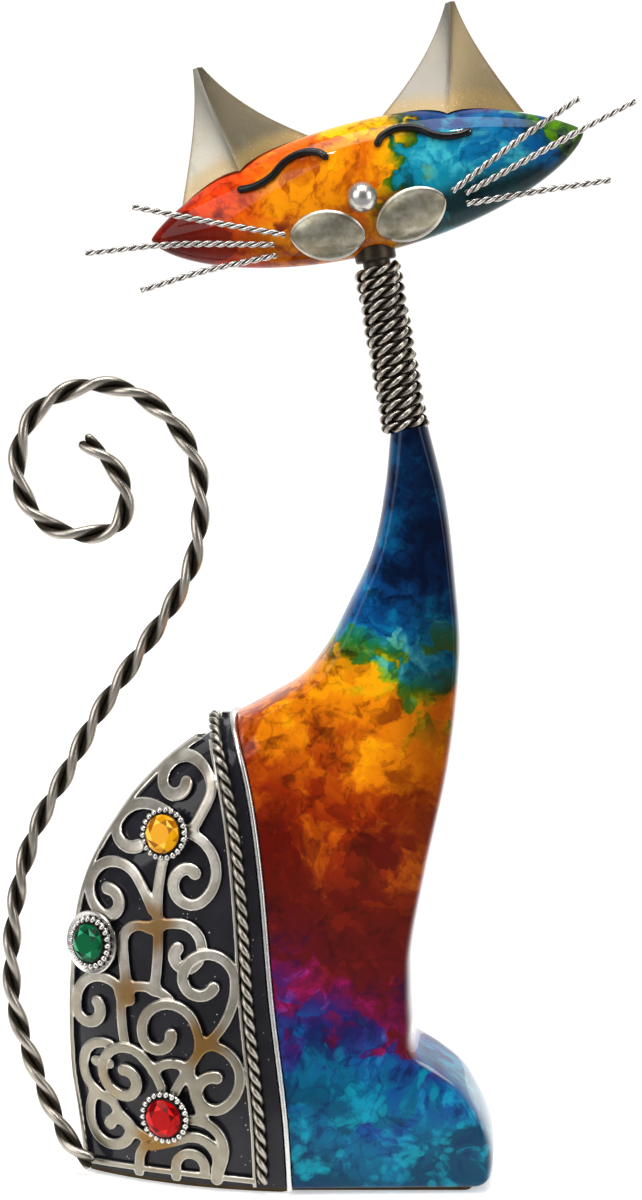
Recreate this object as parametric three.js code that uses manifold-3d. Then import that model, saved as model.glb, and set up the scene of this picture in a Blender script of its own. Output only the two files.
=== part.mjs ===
// Sheet-metal cat figurine, sitting, with a long neck, a twisted wire tail and an openwork haunch.
// Millimetres, +Z up. +X is where the paw points, -Y is the side with the face.
// The origin is the middle of the footprint, on the underside of the base plate.

import * as THREE from 'three';
import { mergeVertices } from 'three/addons/utils/BufferGeometryUtils.js';
import Module from 'manifold-3d';

const wasm = await Module();
wasm.setup();

// Driving dimensions of the body and the haunch, as [height, value] pairs
const FLOOR_GAP = 1.5;
const CREST = 142;
const BODY_TOP = 226;
const DIVIDER_X = [[0, 1.5], [24, 0], [59, -4.1], [92, -7], [112, -9.5], [127, -12.4], [142, -17]];
const HAUNCH_BACK_X = [
  [0, -63.2], [19, -65.4], [31, -67.2], [45, -67.9], [61, -67.6], [83, -65.2],
  [98, -60], [116, -48.8], [126.3, -39.3], [132.7, -31.5], [137, -25], [142, -17.4],
];
const SPINE_X = [
  [142, -17.4], [146.8, -8.5], [152.9, 1.5], [162.8, 9.6], [173.6, 15.3], [190.4, 22.9],
  [208.6, 26.7], [226, 28.4],
];
const CHEST_X = [
  [0, 59.5], [3.5, 61.2], [10, 61.8], [17, 60.5], [24.7, 57], [31.6, 52.2], [36.6, 45.6],
  [41.5, 38.4], [52, 37.4], [61, 37], [73, 37.2], [96, 41.3], [129, 48.1], [160, 51],
  [182, 49.4], [205, 46.2], [226, 40.8],
];
const HALF_DEPTH = [
  [0, 24], [20, 25], [60, 24.5], [100, 22.5], [142, 19.5], [160, 17.5], [180, 14], [200, 10],
  [226, 6.3],
];
const FRONT_DEPTH_SHARE = [[0, 0.76], [40, 0.84], [80, 0.9], [142, 0.95], [200, 1]];
const BACK_ROUNDING = [[142, 9], [155, 7], [175, 5], [200, 4], [226, 4.2]];
const FRONT_ROUNDING = [[0, 3.5], [40, 3], [100, 2.6], [180, 2.6], [226, 3.6]];
const LIP_HEIGHT = 4.5;
const LIP_INSET = 2.4;
const ARCH_HEIGHT = 16;
const ARCH_FADE = [-52, -38];
const SHELL_TOP = 141.5;
const SHELL_CREST_X = -20.8;
const SLOPED_TOP_START = 176;

// Sheet thicknesses and the clearances between the pieces
const FIT_GAP = 0.32;
const SHEET = 1;
const SHELL_INSET = 2.1;
const BACK_EDGE_DEPTH = 3.5;
const STRIP_THICKNESS = 1.5;
const STRIP_PROUD = 1;
const RIM_THICKNESS = 1.1;
const RIM_HALF_WIDTH = 2.1;
const BASE_THICKNESS = 1.2;

// Twisted wires
const ROPE_RADIUS = 1.65;
const ROPE_OFFSET = [[0, 8], [50, 7.2], [80, 6.4], [125, 6.2], [142, 7]];
const TAIL_STRAND_RADIUS = 1.5;
const TAIL_HALF_PITCH = 13;
// Centre line of the tail as [x, z], with a third value where it swings round to the near side
const TAIL_ROUTE = [
  [-59.8, 4.4, -10.9], [-65.8, 8.6, -8.3], [-73.4, 19.6, -3.2], [-80.9, 36.3], [-85.2, 50.6],
  [-85.9, 66], [-84, 84.8],
  [-78.3, 104.3], [-68.3, 122.9], [-58.7, 140.4], [-47, 157.6], [-35.7, 174.3], [-29.7, 186.7],
  [-27.2, 203], [-28.8, 217.4], [-36, 229.2], [-47.3, 237.6], [-58.8, 239.8], [-69.8, 236.7],
  [-78.4, 229.6], [-82.6, 217], [-79.5, 203.8], [-72.3, 197.1], [-62, 194.8], [-52.3, 197.6],
  [-49.7, 206.4], [-53.4, 215.3], [-62.7, 223.7],
];

// Neck
const NECK_FOOT = new THREE.Vector3(34.2, 0, 227.1);
const NECK_LEAN = THREE.MathUtils.degToRad(10.1);
const POST_RADIUS = 4.1;
const POST_LENGTH = 60;
const COLLAR_RADIUS = 6.1;
const WRAP_RADIUS = 7.3;
const WRAP_VALLEY_RADIUS = 6.1;
const WRAP_COILS = 15;
const WRAP_PITCH = 3.3;
const WRAP_START = 0.6;

// Head, in its own frame: x along the chord, z across it
const HEAD_CENTRE = new THREE.Vector3(22.3, 0, 298.5);
const HEAD_TILT = THREE.MathUtils.degToRad(13.8);
const HEAD_HALF_LENGTH = 65.8;
const HEAD_RISE = 19;
const HEAD_DROP = 20.2;
const HEAD_DEPTH = 12;
const FACE_X = -1.3;
const BROW_LINE = [
  [7.2, 9.4], [9.5, 12], [14, 13.2], [19.5, 12], [25, 8.4], [30, 7], [35.5, 7.3],
];
const BROW_PROUD = 1.15;
const NOSE_RADIUS = 4.5;
const NOSE_Z = -4;
const NOSE_SUNK = 2.6;
const PLATE_PLACE = [12.6, -12];
const PLATE_HALF_LENGTH = 11;
const PLATE_HALF_WIDTH = 7.2;
const PLATE_DOME = 2.4;
const PLATE_TILT = THREE.MathUtils.degToRad(13);

// Stones and their settings, as [radius, height] outlines
const GEM_PROFILE = [[0, 1.3], [5.8, 1.3], [5.8, 2], [3.6, 3.6], [0, 3.6]];
const SETTING_PROFILE = [[0, 0], [7.6, 0], [8, 0.8], [7.4, 2.3], [6.6, 2.3], [6.2, 1], [0, 1]];
const SETTING_LIFT = 0.55;

// Closed mesh from rings of points, each ring with the same number of points
function loft(rings) {
  const count = rings[0].length;
  const positions = rings.flat(2);
  const index = [];
  for (let i = 0; i + 1 < rings.length; i += 1) {
    for (let j = 0; j < count; j += 1) {
      const a = i * count + j;
      const b = i * count + (j + 1) % count;
      index.push(a, b, a + count, b, b + count, a + count);
    }
  }
  zipCap(index, 0, count, true);
  zipCap(index, (rings.length - 1) * count, count, false);
  return solid(positions, index);
}

// Closes one ring with triangles laced between its first half and its second half
function zipCap(index, first, count, flipped) {
  let low = 0;
  let high = count - 1;
  while (high - low > 1) {
    const near = [first + low, first + low + 1, first + high];
    index.push(...(flipped ? near.reverse() : near));
    low += 1;
    if (high - low > 1) {
      const far = [first + low, first + high - 1, first + high];
      index.push(...(flipped ? far.reverse() : far));
      high -= 1;
    }
  }
}

// Merges shared points, drops flat triangles and turns the faces outward
function solid(positions, index) {
  let geometry = new THREE.BufferGeometry();
  geometry.setAttribute('position', new THREE.Float32BufferAttribute(positions, 3));
  geometry.setIndex(index);
  geometry = mergeVertices(geometry, 1e-3);
  const place = geometry.getAttribute('position').array;
  const source = geometry.index.array;
  const corner = (i) => new THREE.Vector3(place[3 * i], place[3 * i + 1], place[3 * i + 2]);
  const kept = [];
  let volume = 0;
  for (let i = 0; i < source.length; i += 3) {
    const [a, b, c] = [source[i], source[i + 1], source[i + 2]];
    if (a !== b && b !== c && c !== a) {
      kept.push(a, b, c);
      volume += corner(a).dot(corner(b).cross(corner(c)));
    }
  }
  geometry.setIndex(volume < 0 ? kept.reverse() : kept);
  return geometry;
}

function toManifold(geometry) {
  const plain = geometry.clone();
  plain.deleteAttribute('normal');
  plain.deleteAttribute('uv');
  const merged = mergeVertices(plain, 1e-3);
  return new wasm.Manifold(new wasm.Mesh({
    numProp: 3,
    vertProperties: new Float32Array(merged.getAttribute('position').array),
    triVerts: new Uint32Array(merged.index.array),
  }));
}

function fromManifold(manifold) {
  const mesh = manifold.getMesh();
  const geometry = new THREE.BufferGeometry();
  geometry.setAttribute('position', new THREE.Float32BufferAttribute(mesh.vertProperties, 3));
  geometry.setIndex(Array.from(mesh.triVerts));
  return geometry;
}

// Smooth value at a height, from rows of [height, value]
function valueAt(rows, height) {
  const last = rows.length - 1;
  if (height <= rows[0][0]) {
    return rows[0][1];
  }
  if (height >= rows[last][0]) {
    return rows[last][1];
  }
  const k = rows.findIndex((row) => row[0] >= height) - 1;
  const slope = (i) => {
    const low = rows[Math.max(i - 1, 0)];
    const high = rows[Math.min(i + 1, last)];
    return (high[1] - low[1]) / (high[0] - low[0]);
  };
  const span = rows[k + 1][0] - rows[k][0];
  const s = (height - rows[k][0]) / span;
  const rise = rows[k + 1][1] - rows[k][1];
  const ease = s * s * (3 - 2 * s);
  const lead = s * (1 - s) * (1 - s) * slope(k) * span;
  const tail = s * s * (s - 1) * slope(k + 1) * span;
  return rows[k][1] + ease * rise + lead + tail;
}

const BISECTIONS = 30;

// Height of the back edge of the haunch at a place in the side view, above its fullest part
function heightAtBack(x) {
  let low = 100;
  let high = CREST;
  for (let i = 0; i < BISECTIONS; i += 1) {
    const middle = (low + high) / 2;
    if (valueAt(HAUNCH_BACK_X, middle) < x) {
      low = middle;
    } else {
      high = middle;
    }
  }
  return low;
}

// Half depth of the crest at the divider, which closes like an arch under the crest
function archShare(height, crest) {
  const rise = Math.min(Math.max((height - crest + ARCH_HEIGHT) / ARCH_HEIGHT, 0), 1);
  return Math.sqrt(1 - rise * rise);
}

// Outer half depth of the haunch at a place in the side view
function haunchDepth(x, z) {
  const border = valueAt(DIVIDER_X, z);
  const back = valueAt(HAUNCH_BACK_X, z);
  const u = Math.min(Math.max((border - x) / (border - back), 0), 1);
  const [fadeStart, fadeEnd] = ARCH_FADE;
  const fade = Math.min(Math.max((x - fadeStart) / (fadeEnd - fadeStart), 0), 1);
  const arched = archShare(z, Math.min(heightAtBack(x), CREST));
  const full = valueAt(HALF_DEPTH, z) * (1 + (arched - 1) * fade);
  return BACK_EDGE_DEPTH + Math.max(full - BACK_EDGE_DEPTH, 0) * Math.pow(1 - u * u, 0.9);
}

// Half depth of the painted body at a place in the side view
function bodyDepth(x, z, left, right) {
  const share = valueAt(FRONT_DEPTH_SHARE, z);
  const along = (x - left) / (right - left);
  const full = valueAt(HALF_DEPTH, z) * (1 + (share - 1) * along);
  const open = z < CREST ? archShare(z, CREST) : 0;
  const backWidth = valueAt(BACK_ROUNDING, z);
  const fromBack = Math.max(1 - (x - left) / backWidth, 0);
  const backShare = Math.sqrt(Math.max(1 - (1 - open * open) * fromBack * fromBack, 0));
  const frontWidth = valueAt(FRONT_ROUNDING, z);
  const power = 2 + Math.min(Math.max((BODY_TOP - z) / 40, 0), 1);
  const fromFront = Math.max(1 - (right - x) / frontWidth, 0);
  const frontShare = Math.pow(Math.max(1 - Math.pow(fromFront, power), 0), 1 / power);
  return full * backShare * frontShare;
}

// Heights of the sections below the crest, shared by the body and the strip beside it
const DIVIDED_HEIGHTS = [
  FLOOR_GAP, 2.4, LIP_HEIGHT, 12, 19, 26, 32, 37, 41.5, 46, 60, 80, 104, 126, 134, 139,
];

// The neck leans, so the top of the body slopes square to it
function slopedHeight(x, z, left) {
  const share = Math.max((z - SLOPED_TOP_START) / (BODY_TOP - SLOPED_TOP_START), 0);
  return z + (x - left) * Math.tan(NECK_LEAN) * share * share;
}

// Painted body: neck, chest and paw in one piece
function bodySolid() {
  const heights = [...DIVIDED_HEIGHTS, CREST, 145, 149, 155, 164, 176, 192, 209, BODY_TOP];
  const steps = 11;
  const rings = heights.map((z) => {
    const divided = z < CREST;
    const lip = Math.max((LIP_HEIGHT - z) / (LIP_HEIGHT - FLOOR_GAP), 0);
    const inset = LIP_INSET * (1 - Math.sqrt(1 - Math.min(lip * lip, 1)));
    const gap = STRIP_THICKNESS / 2 + FIT_GAP;
    const left = divided ? valueAt(DIVIDER_X, z) + gap : valueAt(SPINE_X, z) + gap + FIT_GAP;
    const right = valueAt(CHEST_X, z) - inset;
    const near = [];
    for (let i = 0; i <= steps; i += 1) {
      const x = left + (right - left) * (1 - Math.cos(Math.PI * i / steps)) / 2;
      near.push([x, Math.max(bodyDepth(x, z, left, right) - inset, 0)]);
    }
    const front = near.map(([x, depth]) => [x, -depth, slopedHeight(x, z, left)]);
    const back = front.slice(0, -1).reverse().map(([x, y, height]) => [x, -y, height]);
    return [...front, ...back];
  });
  return loft(rings);
}

// Silver strip between the body and the haunch, standing a little proud of both
function dividerSolid() {
  const heights = [...DIVIDED_HEIGHTS, 141, CREST + 0.5];
  const rings = heights.map((z) => {
    const x = valueAt(DIVIDER_X, z);
    const half = STRIP_THICKNESS / 2;
    const share = archShare(z, CREST + STRIP_PROUD);
    const depth = valueAt(HALF_DEPTH, z) * share + STRIP_PROUD;
    return [
      [x - half, -depth, z], [x + half, -depth, z],
      [x + half, depth, z], [x - half, depth, z],
    ];
  });
  return loft(rings);
}

// Lacquered shell inside the openwork
function shellBackX(z) {
  return Math.min(valueAt(HAUNCH_BACK_X, Math.min(z + 0.8, CREST)) + 1.6, SHELL_CREST_X);
}

function shellSolid() {
  const heights = [
    FLOOR_GAP, 22, 44, 62, 82, 98, 110, 118, 124, 129, 132.5, 135, 137, 139.5, SHELL_TOP,
  ];
  const steps = 9;
  const rings = heights.map((z) => {
    const right = valueAt(DIVIDER_X, z) - STRIP_THICKNESS / 2 - 2 * FIT_GAP;
    const left = shellBackX(z);
    const near = [];
    for (let i = 0; i <= steps; i += 1) {
      const x = left + (right - left) * Math.sin(Math.PI / 2 * i / steps);
      near.push([x, haunchDepth(x, z) - SHELL_INSET]);
    }
    const front = near.map(([x, depth]) => [x, -depth, z]);
    const back = near.reverse().map(([x, depth]) => [x, depth, z]);
    return [...front, ...back];
  });
  return loft(rings);
}

// Plate under the whole figure
function basePlate() {
  const back = valueAt(HAUNCH_BACK_X, 0) + 1.5;
  const front = valueAt(CHEST_X, 0) - LIP_INSET - 1;
  const middle = valueAt(DIVIDER_X, 0);
  const steps = 14;
  const near = [];
  for (let i = 0; i <= steps; i += 1) {
    const x = back + (front - back) * (1 - Math.cos(Math.PI * i / steps)) / 2;
    const depth = x < middle ? haunchDepth(x, 0) : bodyDepth(x, 0, middle - 30, front);
    near.push([x, Math.max(depth - LIP_INSET - 1, 0)]);
  }
  return loft([0, BASE_THICKNESS].map((z) => {
    const nearSide = near.map(([x, depth]) => [x, -depth, z]);
    const farSide = near.slice(0, -1).reverse().map(([x, depth]) => [x, depth, z]);
    return [...nearSide, ...farSide];
  }));
}

// Narrow band round the back edge of the haunch
function rimBand() {
  const line = [];
  for (let z = FLOOR_GAP; z < 118; z += 11) {
    line.push([valueAt(HAUNCH_BACK_X, z), z]);
  }
  for (let x = -46; x <= -29; x += 4) {
    line.push([x, heightAtBack(x)]);
  }
  const curve = new THREE.CatmullRomCurve3(line.map(([x, z]) => new THREE.Vector3(x, 0, z)));
  const steps = 22;
  const rings = [];
  for (let i = 0; i <= steps; i += 1) {
    const point = curve.getPointAt(i / steps);
    const along = curve.getTangentAt(i / steps);
    const inward = new THREE.Vector3(along.z, 0, -along.x).multiplyScalar(RIM_THICKNESS);
    rings.push([
      [point.x, -RIM_HALF_WIDTH, point.z],
      [point.x + inward.x, -RIM_HALF_WIDTH, point.z + inward.z],
      [point.x + inward.x, RIM_HALF_WIDTH, point.z + inward.z],
      [point.x, RIM_HALF_WIDTH, point.z],
    ]);
  }
  return loft(rings);
}

// Jewels on the near side: name, place in the side view, colour
const JEWELS = [
  ['yellow', -35.8, 106.8, 0xe0a010],
  ['green', -59.2, 72.3, 0x0b7a4a],
  ['red', -35.8, 22, 0xb01828],
];

// Scrolls of the openwork in the side view: start [x, z], heading, then [radius, turn] of each arc.
// The far side is plainer and leaves out the small ones.
const SCROLLS = [
  { from: [-28.1, 108.4], heading: 58, arcs: [[88, 7], [8, 190], [4, 190]] },
  { from: [-34.8, 112.6], heading: 150, arcs: [[16, 28], [10.5, 65], [5, 148]] },
  { from: [-30.4, 108.2], heading: -20, arcs: [[40, -5], [11.5, -115], [5.5, -190], [2.9, -85]] },
  { from: [-36.3, 101.4], heading: -106, arcs: [[60, 19], [105, -12]] },
  { from: [-40.3, 84], heading: 112, arcs: [[50, 12], [8.5, 200], [4, 215]] },
  { from: [-40, 78.8], heading: 175, arcs: [[40, 6], [5.5, 90], [90, 11]] },
  { from: [-41, 78.5], heading: 25, arcs: [[21.5, -25], [7, -145], [3.5, -170]] },
  { from: [-25, 44], heading: 35, arcs: [[24, 56], [8, 170], [5, 160]] },
  { from: [-50, 58], heading: 120, arcs: [[8, 135], [14, 20], [4, 215]] },
  { from: [-50.5, 58], heading: 40, arcs: [[11.5, -85]], nearOnly: true },
  { from: [-25.5, 44.5], heading: 95, arcs: [[20, 20], [8.5, 170], [4.5, 170]] },
  { from: [-24.2, 44.8], heading: -123.5, arcs: [[200, 5]], nearOnly: true },
  { from: [-24.5, 44.5], heading: 10, arcs: [[9.5, -105], [11, -55], [5, -220]] },
  { from: [-50, 59], heading: -95, arcs: [[58.5, 16]] },
  { from: [-37.5, 30.5], heading: 110, arcs: [[21, 32], [7.5, 210], [4, 190]] },
  { from: [-54, 41.5], heading: 160, arcs: [[6.5, 95], [10, 95]] },
  { from: [-59, 26.2], heading: -122, arcs: [[12.5, 58], [6.5, 125], [3.5, 185]] },
  { from: [-54, 26.5], heading: -75, arcs: [[18, 70]], nearOnly: true },
  { from: [-41, 12], heading: 15, arcs: [[70, 9], [7.5, -115], [30, -9]] },
  { from: [-28, 21.5], heading: 5, arcs: [[9, -135]], nearOnly: true },
  { from: [-39.6, 35.6], heading: 48, arcs: [[8, -62]], nearOnly: true },
  { from: [-29, 37.5], heading: -80, arcs: [[83.5, 11]], nearOnly: true },
  { from: [-40.8, 13.2], heading: 205, arcs: [[7, 60], [60, 4]], nearOnly: true },
  { from: [-33.2, 3.4], heading: 92, arcs: [[60, -3], [4.5, -190]], nearOnly: true },
  { from: [-54.3, 35.6], heading: 168, arcs: [[14, 18]], nearOnly: true },
];
const BAND_HALF_WIDTH = 1.45;
const HEAD_HALF_WIDTH = 1.95;
const EDGE_HALF_WIDTH = 0.8;
const PAD_RADIUS = 6.4;
const DEGREES_PER_STEP = 48;
const FOOT_Z = 4.6;
const FOOT_MIDDLE = -34;
const FOOT_HALF_LENGTH = 28;
const FOOT_SAG = 0.9;

// Centre line of one scroll as points, one every so many degrees of turn
function scrollLine(scroll, degreesPerStep) {
  let [x, z] = scroll.from;
  let heading = THREE.MathUtils.degToRad(scroll.heading);
  const line = [[x, z]];
  for (const [radius, turn] of scroll.arcs) {
    const angle = THREE.MathUtils.degToRad(turn);
    const side = Math.sign(angle);
    const centreX = x - side * radius * Math.sin(heading);
    const centreZ = z + side * radius * Math.cos(heading);
    const count = Math.max(Math.ceil(Math.abs(turn) / degreesPerStep), radius > 15 ? 2 : 1);
    for (let i = 1; i <= count; i += 1) {
      const a = heading + angle * i / count;
      line.push([centreX + side * radius * Math.sin(a), centreZ - side * radius * Math.cos(a)]);
    }
    [x, z] = line[line.length - 1];
    heading += angle;
  }
  return line;
}

// Flat band of sheet along a line in the side view, standing between y = 0 and y = SHEET
function flatBand(line, halfWidth) {
  const rings = line.map(([x, z], i) => {
    const [beforeX, beforeZ] = line[Math.max(i - 1, 0)];
    const [afterX, afterZ] = line[Math.min(i + 1, line.length - 1)];
    const length = Math.hypot(afterX - beforeX, afterZ - beforeZ);
    const half = halfWidth(i / (line.length - 1));
    const acrossX = -(afterZ - beforeZ) / length * half;
    const acrossZ = (afterX - beforeX) / length * half;
    return [
      [x + acrossX, 0, z + acrossZ], [x - acrossX, 0, z - acrossZ],
      [x - acrossX, SHEET, z - acrossZ], [x + acrossX, SHEET, z + acrossZ],
    ];
  });
  return loft(rings);
}

function ropeX(z) {
  return valueAt(DIVIDER_X, z) - valueAt(ROPE_OFFSET, z);
}

// Outline that the openwork stays inside: the back edge, the rope and the foot
function openworkField() {
  const heights = [2, 20, 40, 60, 80, 96, 108, 118, 126, 131];
  const back = heights.map((z) => [valueAt(HAUNCH_BACK_X, z) + 0.2, z]);
  const rope = heights.map((z) => [ropeX(z) - ROPE_RADIUS - FIT_GAP, z]).reverse();
  return { back, ring: [...back, ...rope] };
}

// One openwork panel: scrolls joined to an edge band, trimmed to the field, laid on the haunch
function openworkPanel(side) {
  const { back, ring } = openworkField();
  const edge = back.map(([x, z]) => [x + EDGE_HALF_WIDTH, z]);
  let sheet = toManifold(flatBand(edge, () => EDGE_HALF_WIDTH));
  const foot = [];
  for (let x = -FOOT_HALF_LENGTH; x <= FOOT_HALF_LENGTH; x += FOOT_HALF_LENGTH / 4) {
    foot.push([FOOT_MIDDLE + x, FOOT_Z - FOOT_SAG * (x / FOOT_HALF_LENGTH) ** 2]);
  }
  sheet = sheet.add(toManifold(flatBand(foot, () => EDGE_HALF_WIDTH + 0.1)));
  const round = ellipse(10, PAD_RADIUS, PAD_RADIUS);
  for (const [, x, z] of JEWELS) {
    const pad = [0, SHEET].map((y) => round.map(([a, b]) => [x + a, y, z + b]));
    sheet = sheet.add(toManifold(loft(pad)));
  }
  for (const scroll of SCROLLS.filter((each) => side < 0 || !each.nearOnly)) {
    const line = scrollLine(scroll, DEGREES_PER_STEP);
    const swell = (s) => BAND_HALF_WIDTH + (HEAD_HALF_WIDTH - BAND_HALF_WIDTH) * s * s;
    const curled = scroll.arcs.length > 2;
    sheet = sheet.add(toManifold(flatBand(line, curled ? swell : () => BAND_HALF_WIDTH)));
  }
  const field = loft([-1, SHEET + 1].map((y) => ring.map(([x, z]) => [x, y, z])));
  sheet = sheet.intersect(toManifold(field));
  const geometry = fromManifold(sheet);
  const place = geometry.getAttribute('position');
  for (let i = 0; i < place.count; i += 1) {
    const depth = haunchDepth(place.getX(i), place.getZ(i)) - place.getY(i);
    place.setY(i, side * depth);
  }
  return solid(Array.from(place.array), Array.from(geometry.index.array));
}

// Sweeps a section along a route, turning it by an angle that depends on the length gone
function sweep(route, steps, section, twistAt) {
  const frames = route.computeFrenetFrames(steps, false);
  const length = route.getLength();
  const rings = [];
  for (let i = 0; i <= steps; i += 1) {
    const point = route.getPointAt(i / steps);
    const turn = twistAt(length * i / steps);
    rings.push(section.map(([a, b]) => {
      const p = a * Math.cos(turn) - b * Math.sin(turn);
      const q = a * Math.sin(turn) + b * Math.cos(turn);
      const offset = frames.normals[i].clone().multiplyScalar(p);
      offset.addScaledVector(frames.binormals[i], q);
      return point.clone().add(offset).toArray();
    }));
  }
  return loft(rings);
}

function ellipse(sides, a, b) {
  const corner = (i) => 2 * Math.PI * i / sides;
  return Array.from({ length: sides }, (_, i) => [a * Math.cos(corner(i)), b * Math.sin(corner(i))]);
}

// Twisted rope over the haunch, up the near side, over the crest and down the far side
function ropeTrim() {
  const lift = 0.2;
  const near = [];
  for (let z = FLOOR_GAP + 1.8; z < 136; z += z < 110 ? 17 : 5) {
    const x = ropeX(z);
    near.push(new THREE.Vector3(x, -haunchDepth(x + ROPE_RADIUS, z) - lift, z));
  }
  const shoulder = new THREE.Vector3(ropeX(138), -7.5, 138.8);
  const top = new THREE.Vector3(ropeX(140), 0, 140.2);
  const mirrored = (point) => new THREE.Vector3(point.x, -point.y, point.z);
  const far = [...near, shoulder].reverse().map(mirrored);
  const route = new THREE.CatmullRomCurve3([...near, shoulder, top, ...far]);
  return sweep(route, 52, ellipse(5, ROPE_RADIUS, ROPE_RADIUS), () => 0);
}

// Tail of two twisted strands, curled at the end
function tail() {
  const points = TAIL_ROUTE.map(([x, z, y = 0]) => new THREE.Vector3(x, y, z));
  const route = new THREE.CatmullRomCurve3(points);
  const section = ellipse(6, 2 * TAIL_STRAND_RADIUS, 1.25 * TAIL_STRAND_RADIUS);
  const steps = Math.round(route.getLength() / (TAIL_HALF_PITCH / 3));
  return sweep(route, steps, section, (gone) => -Math.PI * gone / TAIL_HALF_PITCH);
}

// Half height above or below the chord of the head, and half depth at a place on it
function headEdge(x, upper) {
  const s = Math.min(Math.abs(x) / HEAD_HALF_LENGTH, 1);
  const base = 1 - s * s;
  return upper ? HEAD_RISE * Math.pow(base, 0.8) : -HEAD_DROP * Math.pow(base, 0.65);
}

function headHalfDepth(x) {
  const s = Math.min(Math.abs(x) / HEAD_HALF_LENGTH, 1);
  return HEAD_DEPTH * Math.pow(1 - s * s, 0.62);
}

function headSurfaceY(x, z) {
  const top = headEdge(x, true);
  const bottom = headEdge(x, false);
  const across = (z - (top + bottom) / 2) / ((top - bottom) / 2);
  return -headHalfDepth(x) * Math.sqrt(Math.max(1 - across * across, 0));
}

function headTopZ(x, y) {
  const top = headEdge(x, true);
  const bottom = headEdge(x, false);
  const share = Math.min(Math.abs(y) / headHalfDepth(x), 1);
  return (top + bottom) / 2 + (top - bottom) / 2 * Math.sqrt(1 - share * share);
}

function headSolid() {
  const steps = 20;
  const sides = 14;
  const rings = [];
  for (let i = 1; i < steps; i += 1) {
    const x = -HEAD_HALF_LENGTH * Math.cos(Math.PI * i / steps);
    const middle = (headEdge(x, true) + headEdge(x, false)) / 2;
    const half = (headEdge(x, true) - headEdge(x, false)) / 2;
    rings.push(ellipse(sides, headHalfDepth(x), half).map(([y, z]) => [x, y, middle + z]));
  }
  return loft(rings);
}

// Ears: where each flange and the crease meet the head, and the tip
const EARS = {
  left: { side: -1, inner: 12, outer: 54.2, crease: 34.2, apex: [39.6, 45.6] },
  right: { side: 1, inner: 9.5, outer: 51.5, crease: 29, apex: [37.2, 45.8] },
};
const EAR_TIP_HALF_WIDTH = 1.4;

// Folded sheet ear: two concave flanges that meet at a crease towards the viewer
function earSolid({ side, inner, outer, crease, apex }) {
  const rows = 6;
  const columns = 6;
  const outward = (x0, x1, sag, t) => x0 + (x1 - x0) * t + sag * t * (1 - t);
  const grid = [];
  for (let i = 0; i <= rows; i += 1) {
    const t = i / rows;
    const innerX = outward(inner, apex[0] - EAR_TIP_HALF_WIDTH, 9, t);
    const outerX = outward(outer, apex[0] + EAR_TIP_HALF_WIDTH, -9, t);
    const creaseX = outward(crease, apex[0], 2, t);
    const row = [];
    for (let j = 0; j <= columns; j += 1) {
      const s = 2 * j / columns - 1;
      const x = creaseX + (s < 0 ? (creaseX - innerX) * s : (outerX - creaseX) * s);
      const y = (-5.5 + 8 * Math.pow(Math.abs(s), 0.8)) * (1 - 0.8 * t);
      const foot = Math.max(headTopZ(x, y - SHEET / 2), headTopZ(x, y + SHEET / 2)) + FIT_GAP + 0.1;
      row.push([x * side + FACE_X * 0.5, y, foot + (apex[1] - foot) * t]);
    }
    grid.push(row);
  }
  const rings = grid.map((row) => {
    const front = row.map(([x, y, z]) => [x, y - SHEET / 2, z]);
    const back = row.map(([x, y, z]) => [x, y + SHEET / 2, z]).reverse();
    return [...front, ...back];
  });
  return loft(rings);
}

// Raised brow line that follows the face
function browSolid(side) {
  const points = BROW_LINE.map(([x, z]) => {
    const placeX = FACE_X + side * x;
    return new THREE.Vector3(placeX, headSurfaceY(placeX, z) - BROW_PROUD, z);
  });
  const route = new THREE.CatmullRomCurve3(points);
  return sweep(route, 9, ellipse(5, 0.8, 1.1), () => 0);
}

// Domed oval plate on the muzzle, pointed at both ends
function petalSolid(side) {
  const centre = [FACE_X + side * PLATE_PLACE[0], PLATE_PLACE[1]];
  const tilt = PLATE_TILT * side;
  const rings = [];
  const steps = 8;
  for (let i = 0; i <= steps; i += 1) {
    const s = -0.97 * Math.cos(Math.PI * i / steps);
    const half = PLATE_HALF_WIDTH * Math.pow(1 - s * s, 0.6);
    const front = [];
    const back = [];
    for (let j = 0; j <= 4; j += 1) {
      const t = j / 2 - 1;
      const a = s * PLATE_HALF_LENGTH;
      const b = t * half;
      const x = centre[0] + a * Math.cos(tilt) - b * Math.sin(tilt);
      const z = centre[1] + a * Math.sin(tilt) + b * Math.cos(tilt);
      const skin = headSurfaceY(x, z);
      const dome = PLATE_DOME * (1 - t * t) * (1 - s * s);
      front.push([x, Math.min(skin, -6) - 1.2 - FIT_GAP - dome, z]);
      back.unshift([x, Math.min(skin, -6) - 0.45 - FIT_GAP, z]);
    }
    rings.push([...front, ...back]);
  }
  return loft(rings);
}

// Whisker roots and tips on the right side: [x, z] near the muzzle, in the middle and at the end
const WHISKERS = {
  right_upper: [1, [25.6, -8.6], [46, 0.2], [67.5, 8.3]],
  right_middle: [1, [29.2, -10], [57, -2.8], [83, 3.6]],
  right_lower: [1, [28.8, -12.8], [50, -14.6], [71, -16.6]],
  left_upper: [-1, [24.4, -9], [45, 0], [66, 9.6]],
  left_middle: [-1, [28.4, -10.8], [56, -4], [83, 0]],
  left_lower: [-1, [28.6, -13.8], [50, -13.4], [70, -14.4]],
};
const WHISKER_RADIUS = 1.05;

function whiskerSolid([side, root, middle, tip]) {
  const rootY = headSurfaceY(side * root[0] + FACE_X, root[1]) - WHISKER_RADIUS - 0.9;
  const reach = [0, -1.8, -2.6];
  const points = [root, middle, tip].map(([x, z], i) => (
    new THREE.Vector3(FACE_X + side * x, rootY + reach[i], z)
  ));
  const route = new THREE.CatmullRomCurve3(points);
  return sweep(route, 7, ellipse(5, WHISKER_RADIUS, WHISKER_RADIUS), () => 0);
}

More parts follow.
